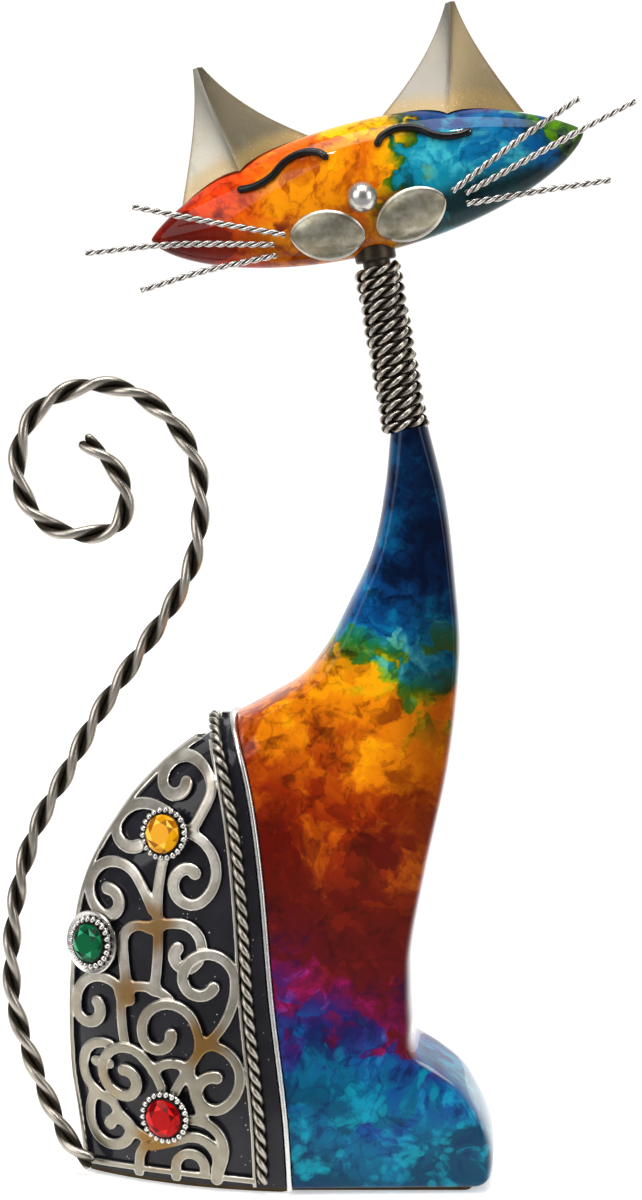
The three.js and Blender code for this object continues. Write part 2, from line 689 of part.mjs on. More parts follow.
// Turned piece from a [radius, height] outline
function turned(profile, segments) {
  const points = profile.map(([radius, height]) => new THREE.Vector2(radius, height));
  return new THREE.LatheGeometry(points, segments);
}

// Jewel in a round setting, with its axis along the local +Y
function gemGeometry() {
  return turned(GEM_PROFILE, 9);
}

function settingGeometry() {
  return turned(SETTING_PROFILE, 12);
}

// Direction away from the near face of the haunch
function haunchNormal(x, z) {
  const step = 2;
  const slopeX = (haunchDepth(x + step, z) - haunchDepth(x - step, z)) / (2 * step);
  const slopeZ = (haunchDepth(x, z + step) - haunchDepth(x, z - step)) / (2 * step);
  return new THREE.Vector3(-slopeX, -1, -slopeZ).normalize();
}

// Neck pieces, along the leaning neck
function neckPost(head) {
  const collar = WRAP_START + WRAP_COILS * WRAP_PITCH;
  const post = turned([
    [0, 0], [POST_RADIUS, 0], [POST_RADIUS, collar], [COLLAR_RADIUS, collar],
    [COLLAR_RADIUS, POST_LENGTH], [0, POST_LENGTH],
  ], 14);
  onNeck(post);
  const skin = head.clone().rotateY(-HEAD_TILT);
  skin.translate(HEAD_CENTRE.x, HEAD_CENTRE.y, HEAD_CENTRE.z);
  const aboveSkin = loft([0, 30].map((rise) => [[-1, -1], [1, -1], [1, 1], [-1, 1]].map(([a, b]) => (
    [HEAD_CENTRE.x + 30 * a, 30 * b, HEAD_CENTRE.z - 10 + rise]
  ))));
  const cutter = toManifold(skin.translate(0, 0, -FIT_GAP));
  return fromManifold(toManifold(solidOf(post)).subtract(cutter).subtract(toManifold(aboveSkin)));
}

function solidOf(geometry) {
  const place = geometry.getAttribute('position').array;
  return solid(Array.from(place), Array.from(geometry.index.array));
}

function onNeck(geometry) {
  geometry.rotateX(Math.PI / 2);
  geometry.rotateY(-NECK_LEAN);
  geometry.translate(NECK_FOOT.x, NECK_FOOT.y, NECK_FOOT.z);
}

function neckWrap() {
  const inner = POST_RADIUS + FIT_GAP;
  const profile = [[inner, WRAP_START]];
  for (let i = 0; i < WRAP_COILS; i += 1) {
    profile.push([WRAP_VALLEY_RADIUS, WRAP_START + i * WRAP_PITCH]);
    profile.push([WRAP_RADIUS, WRAP_START + (i + 0.5) * WRAP_PITCH]);
  }
  const end = WRAP_START + WRAP_COILS * WRAP_PITCH - FIT_GAP;
  profile.push([WRAP_VALLEY_RADIUS, end], [inner, end], [inner, WRAP_START]);
  const wrap = turned(profile, 11);
  onNeck(wrap);
  return solidOf(wrap);
}

// Nose: a ball pressed on the face, cut to the face with a fit gap
function noseSolid(head) {
  const ball = new THREE.SphereGeometry(NOSE_RADIUS, 12, 7);
  ball.translate(FACE_X, headSurfaceY(FACE_X, NOSE_Z) - NOSE_SUNK, NOSE_Z);
  const cutter = toManifold(head.clone().translate(0, -FIT_GAP, 0));
  return fromManifold(toManifold(solidOf(ball)).subtract(cutter));
}

// Model
const model = new THREE.Group();

function add(name, geometry, colour, metalness, roughness, parent = model) {
  const material = new THREE.MeshStandardMaterial({ color: colour, metalness, roughness });
  const mesh = new THREE.Mesh(geometry, material);
  mesh.name = name;
  parent.add(mesh);
  return mesh;
}

const SILVER = 0xb9b3a6;
const PEWTER = 0x77726a;
const BRONZE = 0x5a4a30;

add('base_plate', basePlate(), BRONZE, 1, 0.5);
add('body', bodySolid(), 0xd06a1c, 0.2, 0.2);
add('divider_strip', dividerSolid(), 0xd8d8d8, 1, 0.3);
add('haunch_shell', shellSolid(), 0x14151a, 0.2, 0.15);
add('haunch_rim', rimBand(), SILVER, 1, 0.35);
add('openwork_near', openworkPanel(-1), SILVER, 1, 0.35);
add('openwork_far', openworkPanel(1), SILVER, 1, 0.35);
add('rope_trim', ropeTrim(), PEWTER, 1, 0.4);
add('tail', tail(), PEWTER, 1, 0.4);

for (const [name, x, z, colour] of JEWELS) {
  const seat = new THREE.Group();
  const normal = haunchNormal(x, z);
  seat.quaternion.setFromUnitVectors(new THREE.Vector3(0, 1, 0), normal);
  seat.position.set(x, -haunchDepth(x, z), z).addScaledVector(normal, SETTING_LIFT);
  model.add(seat);
  add(`${name}_jewel_setting`, solidOf(settingGeometry()), SILVER, 1, 0.35, seat);
  add(`${name}_jewel`, solidOf(gemGeometry()), colour, 0, 0.1, seat);
}

const head = headSolid();
add('neck_post', neckPost(head), PEWTER, 1, 0.5);
add('neck_wrap', neckWrap(), PEWTER, 1, 0.4);

const headGroup = new THREE.Group();
headGroup.position.copy(HEAD_CENTRE);
headGroup.rotation.y = -HEAD_TILT;
model.add(headGroup);
add('head', head, 0xe08a20, 0.2, 0.2, headGroup);
add('nose', noseSolid(head), 0xd9d6cf, 1, 0.2, headGroup);
for (const [name, side] of [['left', -1], ['right', 1]]) {
  add(`${name}_ear`, earSolid(EARS[name]), 0xa79c86, 1, 0.4, headGroup);
  add(`${name}_brow`, browSolid(side), 0x101010, 0.1, 0.2, headGroup);
  add(`${name}_muzzle_plate`, petalSolid(side), 0xa9a594, 1, 0.35, headGroup);
}
for (const [name, route] of Object.entries(WHISKERS)) {
  add(`${name}_whisker`, whiskerSolid(route), SILVER, 1, 0.35, headGroup);
}

export default model;
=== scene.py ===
# Sheet-metal cat figurine: enamelled body and head, openwork haunch, twisted wire tail.
# Metres, +Z up. +X is where the paw points, -Y is the side with the face.

import math

import bmesh
import bpy
import numpy as np
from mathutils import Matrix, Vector


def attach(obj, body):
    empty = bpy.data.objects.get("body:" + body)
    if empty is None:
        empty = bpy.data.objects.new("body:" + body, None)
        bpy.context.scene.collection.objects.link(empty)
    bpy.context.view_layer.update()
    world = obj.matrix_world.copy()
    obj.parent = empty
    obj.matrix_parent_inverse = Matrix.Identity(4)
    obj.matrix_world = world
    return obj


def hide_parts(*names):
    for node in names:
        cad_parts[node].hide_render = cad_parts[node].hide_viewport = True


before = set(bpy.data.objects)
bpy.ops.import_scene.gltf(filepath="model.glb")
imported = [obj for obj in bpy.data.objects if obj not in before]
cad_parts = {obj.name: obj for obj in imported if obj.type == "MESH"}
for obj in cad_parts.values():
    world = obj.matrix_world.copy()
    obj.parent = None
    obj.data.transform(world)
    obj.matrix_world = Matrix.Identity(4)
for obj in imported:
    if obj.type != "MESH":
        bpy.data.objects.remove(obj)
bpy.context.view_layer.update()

# Driving dimensions of the body and the haunch, as (height, value) pairs
FLOOR_GAP = 0.0015
CREST = 0.142
BODY_TOP = 0.226
DIVIDER_X = [
    (0, 0.0015), (0.024, 0), (0.059, -0.0041), (0.092, -0.007), (0.112, -0.0095), (0.127, -0.0124),
    (0.142, -0.017),
]
HAUNCH_BACK_X = [
    (0, -0.0632), (0.019, -0.0654), (0.031, -0.0672), (0.045, -0.0679), (0.061, -0.0676),
    (0.083, -0.0652), (0.098, -0.06), (0.116, -0.0488), (0.1263, -0.0393), (0.1327, -0.0315),
    (0.137, -0.025), (0.142, -0.0174),
]
SPINE_X = [
    (0.142, -0.0174), (0.1468, -0.0085), (0.1529, 0.0015), (0.1628, 0.0096), (0.1736, 0.0153),
    (0.1904, 0.0229), (0.2086, 0.0267), (0.226, 0.0284),
]
CHEST_X = [
    (0, 0.0595), (0.0035, 0.0612), (0.01, 0.0618), (0.017, 0.0605), (0.0247, 0.057),
    (0.0316, 0.0522), (0.0366, 0.0456), (0.0415, 0.0384), (0.052, 0.0374), (0.061, 0.037),
    (0.073, 0.0372), (0.096, 0.0413), (0.129, 0.0481), (0.16, 0.051), (0.182, 0.0494),
    (0.205, 0.0462), (0.226, 0.0408),
]
HALF_DEPTH = [
    (0, 0.024), (0.02, 0.025), (0.06, 0.0245), (0.1, 0.0225), (0.142, 0.0195), (0.16, 0.0175),
    (0.18, 0.014), (0.2, 0.01), (0.226, 0.0063),
]
FRONT_DEPTH_SHARE = [(0, 0.76), (0.04, 0.84), (0.08, 0.9), (0.142, 0.95), (0.2, 1)]
BACK_ROUNDING = [(0.142, 0.009), (0.155, 0.007), (0.175, 0.005), (0.2, 0.004), (0.226, 0.0042)]
FRONT_ROUNDING = [(0, 0.0035), (0.04, 0.003), (0.1, 0.0026), (0.18, 0.0026), (0.226, 0.0036)]
LIP_HEIGHT = 0.0045
LIP_INSET = 0.0024
ARCH_HEIGHT = 0.016
ARCH_FADE = (-0.052, -0.038)
SHELL_TOP = 0.1415
SHELL_CREST_X = -0.0208
SLOPED_TOP_START = 0.176

# Sheet thicknesses and the clearances between the pieces
FIT_GAP = 0.00032
SHEET = 0.001
SHELL_INSET = 0.0021
BACK_EDGE_DEPTH = 0.0035
STRIP_THICKNESS = 0.0015
STRIP_PROUD = 0.001
STRIP_SOFT_EDGE = 0.0004
RIM_THICKNESS = 0.0011
RIM_ROLL = 0.00045
RIM_ROLL_PLACE = 0.72
RIM_STEP = 0.0012
RIM_HALF_WIDTH = 0.0021
BASE_THICKNESS = 0.0012
BASE_INSET = 0.001
SHELL_BACK_GAP = 0.0016
SHELL_BACK_LIFT = 0.0008

# Twisted wires
CURVE_STEPS = 24
ROPE_STRAND_RADIUS = 0.00092
ROPE_STRAND_OFFSET = 0.00081
ROPE_HALF_PITCH = 0.0043
ROPE_OFFSET = [(0, 0.008), (0.05, 0.0072), (0.08, 0.0064), (0.125, 0.0062), (0.142, 0.007)]
ROPE_RADIUS = 0.00165
ROPE_TURN_HEIGHT = 0.136
ROPE_CREST_HEIGHT = 0.1402
TAIL_STRAND_RADIUS = 0.0015
TAIL_HALF_PITCH = 0.013
# The foot of the tail swings in from the near side, as (x, y, z). Then it lies in the
# middle plane, as (x, z)
TAIL_FOOT = [(-0.0598, -0.0109, 0.0044), (-0.0658, -0.0083, 0.0086), (-0.0734, -0.0032, 0.0196)]
TAIL_ROUTE = [
    (-0.0809, 0.0363), (-0.0852, 0.0506), (-0.0859, 0.066), (-0.084, 0.0848), (-0.0783, 0.1043),
    (-0.0683, 0.1229), (-0.0587, 0.1404), (-0.047, 0.1576),
    (-0.0357, 0.1743), (-0.0297, 0.1867), (-0.0272, 0.203), (-0.0288, 0.2174), (-0.036, 0.2292),
    (-0.0473, 0.2376), (-0.0588, 0.2398), (-0.0698, 0.2367), (-0.0784, 0.2296), (-0.0826, 0.217),
    (-0.0795, 0.2038), (-0.0723, 0.1971), (-0.062, 0.1948), (-0.0523, 0.1976), (-0.0497, 0.2064),
    (-0.0534, 0.2153), (-0.0627, 0.2237),
]

# Neck, in its own frame with z along it
NEAR_AXIS = 0.0002
NECK_FOOT = np.array([0.0342, 0, 0.2271])
NECK_LEAN = math.radians(10.1)
POST_RADIUS = 0.0041
COLLAR_RADIUS = 0.0061
COLLAR_TOP = 0.0545
WRAP_RADIUS = 0.0073
WRAP_COILS = 15
WRAP_PITCH = 0.0033
WRAP_START = 0.0006
WRAP_STRAND_RADIUS = 0.00084
WRAP_HALF_PITCH = 0.0047
WRAP_SUNK = 0.0016
WRAP_OVERRUN = 0.15
WRAP_END_OUT = 0.0011
WRAP_LEVEL_TURN = 5.0

# Head, in its own frame: x along the chord, z across it
HEAD_CENTRE = np.array([0.0223, 0, 0.2985])
HEAD_TILT = math.radians(13.8)
HEAD_HALF_LENGTH = 0.0658
HEAD_RISE = 0.019
HEAD_DROP = 0.0202
HEAD_DEPTH = 0.012
FACE_X = -0.0013
NOSE_Z = -0.004
NOSE_RADIUS = 0.0045
NOSE_OUT = 0.0026
BROW_RADIUS = 0.00115
BROW_STEP = 0.0006
BROW_SUNK = 0.0007
BROW_LINE = [
    (0.0072, 0.0094), (0.0095, 0.012), (0.014, 0.0132), (0.0195, 0.012), (0.025, 0.0084),
    (0.03, 0.007), (0.0355, 0.0073),
]
# Side, foot of the inner edge, of the outer edge and of the crease, and the tip of each ear
EARS = {
    "left": (-1, 0.012, 0.0542, 0.0342, (0.0396, 0.0456)),
    "right": (1, 0.0095, 0.0515, 0.029, (0.0372, 0.0458)),
}
EAR_TIP_HALF_WIDTH = 0.0014
EAR_EDGE_SAG = 0.009
EAR_CREASE_SAG = 0.002
EAR_CREASE_Y = -0.0055
EAR_FOLD_DEPTH = 0.008
PLATE_PLACE = (0.0126, -0.012)
PLATE_TILT = math.radians(13)
PLATE_HALF_LENGTH = 0.011
PLATE_HALF_WIDTH = 0.0072
PLATE_PROUD = 0.0012
PLATE_DOME = 0.0023
PLATE_RIM = 0.00014
PLATE_BACK_GAP = 0.00025
# Side, then the places of the root, the middle and the tip of each whisker
WHISKERS = {
    "right_upper": (1, (0.0256, -0.0086), (0.046, 0.0002), (0.0675, 0.0083)),
    "right_middle": (1, (0.0292, -0.01), (0.057, -0.0028), (0.083, 0.0036)),
    "right_lower": (1, (0.0288, -0.0128), (0.05, -0.0146), (0.071, -0.0166)),
    "left_upper": (-1, (0.0244, -0.009), (0.045, 0), (0.066, 0.0096)),
    "left_middle": (-1, (0.0284, -0.0108), (0.056, -0.004), (0.083, 0)),
    "left_lower": (-1, (0.0286, -0.0138), (0.05, -0.0134), (0.07, -0.0144)),
}
WHISKER_RADIUS = 0.00105
WHISKER_STRAND_RADIUS = 0.00055
WHISKER_STRAND_OFFSET = 0.0005
WHISKER_ROOT_GAP = 0.0009
WHISKER_REACH = (0, -0.0018, -0.0026)
WHISKER_HALF_PITCH = 0.0032

# Jewels on the near side: place in the side view
JEWELS = {"yellow": (-0.0358, 0.1068), "green": (-0.0592, 0.0723), "red": (-0.0358, 0.022)}
JEWEL_LIFT = 0.00055
BACKING_RADIUS = {"green": 0.0096}
BEAD_RING_RADIUS = 0.00702
BEAD_COUNT = 22
BEAD_HEIGHT = 0.0013
BEAD_SIZE = (0.00112, 0.00088, 0.001)
CUP_PROFILE = [
    (0.0004, 0), (0.0070, 0), (0.0074, 0.0003), (0.0075, 0.0007), (0.0073, 0.0010),
    (0.0070, 0.0011), (0.0063, 0.0010), (0.0061, 0.0012), (0.0061, 0.0022), (0.0059, 0.0024),
    (0.0058, 0.0010), (0.0004, 0.0010),
]
CUP_RIM_RADIUS = 0.0071
# Corners of a stone, as (radius, height, count, turn as a share of one step)
STONE_RINGS = [
    (0.0033, 0.0038, 8, 0.5), (0.0047, 0.0033, 8, 0), (0.0057, 0.0025, 16, 0),
    (0.0058, 0.0020, 16, 0.5), (0.0044, 0.0013, 8, 0),
]
FACET_SEED = 5

# Scrolls of the openwork in the side view: start, heading, then (radius, turn) of each arc,
# whether the scroll is left out on the plainer far side, and the layer it lies in
SCROLLS = [
    ((-0.0281, 0.1084), 58, ((0.088, 7), (0.008, 190), (0.004, 190)), False, 0),
    ((-0.0348, 0.1126), 150, ((0.016, 28), (0.0105, 65), (0.005, 148)), False, 0),
    ((-0.0304, 0.1082), -20, ((0.04, -5), (0.0115, -115), (0.0055, -190), (0.0029, -85)), False, 0),
    ((-0.0363, 0.1014), -106, ((0.06, 19), (0.105, -12)), False, 0),
    ((-0.0403, 0.084), 112, ((0.05, 12), (0.0085, 200), (0.004, 215)), False, 0),
    ((-0.04, 0.0788), 175, ((0.04, 6), (0.0055, 90), (0.09, 11)), False, 0),
    ((-0.041, 0.0785), 25, ((0.0215, -25), (0.007, -145), (0.0035, -170)), False, 0),
    ((-0.025, 0.044), 35, ((0.024, 56), (0.008, 170), (0.005, 160)), False, 1),
    ((-0.05, 0.058), 120, ((0.008, 135), (0.014, 20), (0.004, 215)), False, 0),
    ((-0.0505, 0.058), 40, ((0.0115, -85),), True, 0),
    ((-0.0255, 0.0445), 95, ((0.02, 20), (0.0085, 170), (0.0045, 170)), False, 1),
    ((-0.0242, 0.0448), -123.5, ((0.2, 5),), True, 1),
    ((-0.0245, 0.0445), 10, ((0.0095, -105), (0.011, -55), (0.005, -220)), False, 1),
    ((-0.05, 0.059), -95, ((0.0585, 16),), False, 0),
    ((-0.0375, 0.0305), 110, ((0.021, 32), (0.0075, 210), (0.004, 190)), False, 1),
    ((-0.054, 0.0415), 160, ((0.0065, 95), (0.01, 95)), False, 0),
    ((-0.059, 0.0262), -122, ((0.0125, 58), (0.0065, 125), (0.0035, 185)), False, 0),
    ((-0.054, 0.0265), -75, ((0.018, 70),), True, 0),
    ((-0.041, 0.012), 15, ((0.07, 9), (0.0075, -115), (0.03, -9)), False, 1),
    ((-0.028, 0.0215), 5, ((0.009, -135),), True, 1),
    ((-0.0396, 0.0356), 48, ((0.008, -62),), True, 1),
    ((-0.029, 0.0375), -80, ((0.0835, 11),), True, 1),
    ((-0.0408, 0.0132), 205, ((0.007, 60), (0.06, 4)), True, 0),
    ((-0.0332, 0.0034), 92, ((0.06, -3), (0.0045, -190)), True, 0),
    ((-0.0543, 0.0356), 168, ((0.014, 18),), True, 0),
]
BAND_HALF_WIDTH = 0.0016
HEAD_HALF_WIDTH = 0.00195
EDGE_HALF_WIDTH = 0.0008
PAD_RADIUS = 0.0064
LAYER_RISE = 0.0006
GRID_STEP = 0.00037
GRID_LOW = (-0.0692, 0.001)
GRID_HIGH = (-0.006, 0.1345)
ROPE_BAND_WIDTH = 0.0011
ROUND_OVER = 0.0006
EDGE_DIP = 0.0004
FILLET = 0.0014
FOOT_SAG = 0.0009
FOOT_Z = 0.0046
# Places in the side view where solder left the plating brown
SOLDER_PATCHES = [
    (-0.0409, 0.0786), (-0.0502, 0.058), (-0.0244, 0.045), (-0.0401, 0.013), (-0.061, 0.0235),
    (-0.034, 0.1275), (-0.0575, 0.031),
]

# Camera and floor
CAMERA_TARGET = Vector((0.009, 0, 0.1755))
CAMERA_AZIMUTH = math.radians(4)
CAMERA_ELEVATION = math.radians(5)
CAMERA_DISTANCE = 0.8
CAMERA_LENS_MM = 80
CAMERA_SENSOR_MM = 36
FLOOR_HALF_SIZE = 4.0


# Curves and surfaces shared by the pieces

def value_at(rows, place):
    """Smooth value at a place, from rows of (place, value)."""
    places, values = np.array(rows, dtype=float).T
    slopes = np.gradient(values, places)
    slopes[1:-1] = (values[2:] - values[:-2]) / (places[2:] - places[:-2])
    place = np.clip(place, places[0], places[-1])
    k = np.clip(np.searchsorted(places, place) - 1, 0, len(places) - 2)
    span = places[k + 1] - places[k]
    s = (place - places[k]) / span
    ease = s * s * (3 - 2 * s)
    lead = s * (1 - s) ** 2 * slopes[k] * span
    tail = s * s * (s - 1) * slopes[k + 1] * span
    return values[k] + ease * (values[k + 1] - values[k]) + lead + tail


CREST_HEIGHTS = np.linspace(0.1, CREST, 400)
CREST_BACKS = value_at(HAUNCH_BACK_X, CREST_HEIGHTS)


def height_at_back(x):
    return np.interp(x, CREST_BACKS, CREST_HEIGHTS)


def arch_share(height, crest):
    rise = np.clip((height - crest + ARCH_HEIGHT) / ARCH_HEIGHT, 0, 1)
    return np.sqrt(1 - rise * rise)


def haunch_depth(x, z):
    """Outer half depth of the haunch at a place in the side view."""
    border = value_at(DIVIDER_X, z)
    back = value_at(HAUNCH_BACK_X, z)
    u = np.clip((border - x) / (border - back), 0, 1)
    arched = arch_share(z, np.minimum(height_at_back(x), CREST))
    fade = np.clip((x - ARCH_FADE[0]) / (ARCH_FADE[1] - ARCH_FADE[0]), 0, 1)
    full = value_at(HALF_DEPTH, z) * (1 + (arched - 1) * fade)
    return BACK_EDGE_DEPTH + np.maximum(full - BACK_EDGE_DEPTH, 0) * (1 - u * u) ** 0.9


def body_depth(x, z, left, right):
    """Half depth of the painted body at a place in the side view."""
    along = (x - left) / (right - left)
    full = value_at(HALF_DEPTH, z) * (1 + (value_at(FRONT_DEPTH_SHARE, z) - 1) * along)
    open_share = arch_share(z, CREST) if z < CREST else 0
    from_back = np.maximum(1 - (x - left) / value_at(BACK_ROUNDING, z), 0)
    back_share = np.sqrt(np.maximum(1 - (1 - open_share ** 2) * from_back ** 2, 0))
    power = 2 + min(max((BODY_TOP - z) / 0.04, 0), 1)
    from_front = np.maximum(1 - (right - x) / value_at(FRONT_ROUNDING, z), 0)
    front_share = np.maximum(1 - from_front ** power, 0) ** (1 / power)
    return full * back_share * front_share


def sloped_height(x, z, left):
    """Height of a place on the body, whose top slopes square to the leaning neck."""
    share = max((z - SLOPED_TOP_START) / (BODY_TOP - SLOPED_TOP_START), 0)
    return z + (x - left) * math.tan(NECK_LEAN) * share * share


def rope_x(z):
    return value_at(DIVIDER_X, z) - value_at(ROPE_OFFSET, z)


def head_edges(x):
    """Upper and lower edge of the head at a place along its chord."""
    base = np.maximum(1 - np.minimum(np.abs(x) / HEAD_HALF_LENGTH, 1) ** 2, 0)
    return HEAD_RISE * base ** 0.8, -HEAD_DROP * base ** 0.65


def head_half_depth(x):
    s = np.minimum(np.abs(x) / HEAD_HALF_LENGTH, 1)
    return HEAD_DEPTH * (1 - s * s) ** 0.62


def head_surface_y(x, z):
    top, bottom = head_edges(x)
    across = (z - (top + bottom) / 2) / ((top - bottom) / 2)
    return -head_half_depth(x) * np.sqrt(np.maximum(1 - across * across, 0))


def head_top_z(x, y):
    top, bottom = head_edges(x)
    share = np.minimum(np.abs(y) / head_half_depth(x), 1)
    return (top + bottom) / 2 + (top - bottom) / 2 * np.sqrt(1 - share * share)


def on_head(points):
    """From the frame of the head to the frame of the figure."""
    x, y, z = np.asarray(points, dtype=float).T
    cos, sin = math.cos(HEAD_TILT), math.sin(HEAD_TILT)
    return np.stack([x * cos - z * sin, y, x * sin + z * cos], axis=1) + HEAD_CENTRE


def on_neck(points):
    """From a frame with its z along the leaning neck to the frame of the figure."""
    x, y, z = np.asarray(points, dtype=float).T
    cos, sin = math.cos(NECK_LEAN), math.sin(NECK_LEAN)
    return np.stack([x * cos - z * sin, y, x * sin + z * cos], axis=1) + NECK_FOOT


def lengths_along(line):
    return np.concatenate([[0], np.cumsum(np.linalg.norm(np.diff(line, axis=0), axis=1))])


def unit_tangents(line):
    tangents = np.gradient(line, axis=0)
    return tangents / np.linalg.norm(tangents, axis=1, keepdims=True)


def smooth_line(points, step):
    """Evenly spaced points on a centripetal curve through the given points."""
    points = np.array(points, dtype=float)
    points = np.vstack([2 * points[0] - points[1], points, 2 * points[-1] - points[-2]])
    out = []
    for i in range(len(points) - 3):
        p0, p1, p2, p3 = points[i:i + 4]
        knots = np.cumsum([0] + [np.linalg.norm(b - a) ** 0.5
                                 for a, b in ((p0, p1), (p1, p2), (p2, p3))])
        t = np.linspace(knots[1], knots[2], CURVE_STEPS, endpoint=False)[:, None]

        def blend(a, b, low, high):
            return (knots[high] - t) / (knots[high] - knots[low]) * a \
                + (t - knots[low]) / (knots[high] - knots[low]) * b

        a1, a2, a3 = blend(p0, p1, 0, 1), blend(p1, p2, 1, 2), blend(p2, p3, 2, 3)
        out.append(blend(blend(a1, a2, 0, 2), blend(a2, a3, 1, 3), 1, 2))
    out.append(points[-2:-1])
    line = np.vstack(out)
    gone = lengths_along(line)
    places = np.linspace(0, gone[-1], max(int(gone[-1] / step), 2) + 1)
    return np.stack([np.interp(places, gone, line[:, k]) for k in range(3)], axis=1)


# Meshes

def make_piece(name, points, faces, finish, node, slot, sharp=50, marks=None, facets=None):
    """One piece of the figure, as a mesh that stands for its CAD node."""
    mesh = bpy.data.meshes.new(name)
    mesh.from_pydata([tuple(p) for p in np.asarray(points, dtype=float).tolist()], [], faces)
    shell = bmesh.new()
    shell.from_mesh(mesh)
    bmesh.ops.recalc_face_normals(shell, faces=shell.faces)
    shell.to_mesh(mesh)
    shell.free()
    for label, values in (marks or {}).items():
        layer = mesh.attributes.new(label, "FLOAT", "POINT")
        layer.data.foreach_set("value", np.asarray(values, dtype=np.float32))
    if facets is not None:
        layer = mesh.attributes.new("facet", "FLOAT", "FACE")
        layer.data.foreach_set("value", np.asarray(facets, dtype=np.float32))
    mesh.materials.append(finish)
    mesh.shade_smooth()
    mesh.set_sharp_from_angle(angle=math.radians(sharp))
    made = bpy.data.objects.new(name, mesh)
    bpy.context.scene.collection.objects.link(made)
    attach(made, "root")
    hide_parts(node)


def loft(rings):
    """Points and faces of a closed skin over rings with the same number of points."""
    rings = np.asarray(rings, dtype=float)
    rows, count = rings.shape[:2]
    faces = []
    for i in range(rows - 1):
        for j in range(count):
            a = i * count + j
            b = i * count + (j + 1) % count
            faces.append((a, b, b + count, a + count))
    faces.append(tuple(range(count))[::-1])
    faces.append(tuple(range((rows - 1) * count, rows * count)))
    return rings.reshape(-1, 3), faces


def joined(parts):
    """Several (points, faces) pairs as one."""
    points, faces, start = [], [], 0
    for part_points, part_faces in parts:
        points.append(part_points)
        faces += [tuple(i + start for i in face) for face in part_faces]
        start += len(part_points)
    return np.vstack(points), faces


def mirrored_ring(x, depth, height):
    """Closed ring from the places and depths of the near side, mirrored to the far side."""
    height = np.broadcast_to(height, x.shape)
    front = np.stack([x, -depth, height], axis=1)
    back = np.stack([x[:-1], depth[:-1], height[:-1]], axis=1)[::-1]
    return np.vstack([front, back])


def lathe(profile, sides):
    """Points and faces of a profile of (radius, height) rows turned round +Z."""
    turn = 2 * math.pi * np.arange(sides) / sides
    rings = [np.stack([r * np.cos(turn), r * np.sin(turn), np.full(sides, z)], axis=1)
             for r, z in profile]
    return loft(rings)


def tube_frames(line):
    """Tangents and turning-free normals along a line of points."""
    tangents = unit_tangents(line)
    normals = np.zeros_like(tangents)
    start = np.cross(tangents[0], (0, 1, 0))
    if np.linalg.norm(start) < 0.1:
        start = np.cross(tangents[0], (0, 0, 1))
    normals[0] = start / np.linalg.norm(start)
    for i in range(1, len(line)):
        carried = normals[i - 1] - tangents[i] * normals[i - 1].dot(tangents[i])
        normals[i] = carried / np.linalg.norm(carried)
    return tangents, normals


def rounded_ends(line, radius):
    """Share of the full radius along a wire whose two ends are rounded over."""
    gone = lengths_along(line)
    from_end = np.minimum(gone, gone[-1] - gone)
    over = np.clip(1 - from_end / radius, 0, 0.98)
    return np.sqrt(1 - over * over)


def wire(line, radius, sides, outward=None):
    """Round wire along a line. Also gives how far each point faces outward, from -1 to 1."""
    tangents, normals = tube_frames(line)
    if outward is not None:
        outward = outward - tangents * np.sum(outward * tangents, axis=1, keepdims=True)
        normals = outward / np.linalg.norm(outward, axis=1, keepdims=True)
    sideways = np.cross(tangents, normals)
    turn = 2 * math.pi * np.arange(sides) / sides
    size = (radius * rounded_ends(line, radius))[:, None, None]
    rings = line[:, None, :] + size * (np.cos(turn)[None, :, None] * normals[:, None, :]
                                       + np.sin(turn)[None, :, None] * sideways[:, None, :])
    points, faces = loft(rings)
    return points, faces, np.tile(np.cos(turn), len(line))


def twisted_wires(line, radius, half_pitch, sides, offset=None):
    """Two wires twisted round each other along a line, with the twist of a left-hand screw."""
    offset = radius * 0.96 if offset is None else offset
    tangents, normals = tube_frames(line)
    sideways = np.cross(tangents, normals)
    gone = lengths_along(line)
    parts, crowns = [], []
    for strand in (0, 1):
        turn = -math.pi * gone / half_pitch + math.pi * strand
        outward = np.cos(turn)[:, None] * normals + np.sin(turn)[:, None] * sideways
        points, faces, crown = wire(line + offset * outward, radius, sides, outward)
        parts.append((points, faces))
        crowns.append(crown)
    points, faces = joined(parts)
    return {"points": points, "faces": faces, "marks": {"crown": np.concatenate(crowns)}}


# Shaders

class Value:
    """One output of a shader node, so that maths on it reads as an expression."""

    def __init__(self, shader, socket):
        self.shader = shader
        self.socket = socket

    def maths(self, operation, *values):
        sockets = dict(enumerate(values))
        return self.shader.node("ShaderNodeMath", {"operation": operation}, sockets)

    def __abs__(self):
        return self.maths("ABSOLUTE", self)

    def at_least(self, low):
        return self.maths("MAXIMUM", self, low)

    def at_most(self, high):
        return self.maths("MINIMUM", self, high)


def operator_pair(operation):
    return (lambda self, other: self.maths(operation, self, other),
            lambda self, other: self.maths(operation, other, self))


for word, operation in (("add", "ADD"), ("sub", "SUBTRACT"), ("mul", "MULTIPLY"),
                        ("truediv", "DIVIDE")):
    plain, reflected = operator_pair(operation)
    setattr(Value, f"__{word}__", plain)
    setattr(Value, f"__r{word}__", reflected)


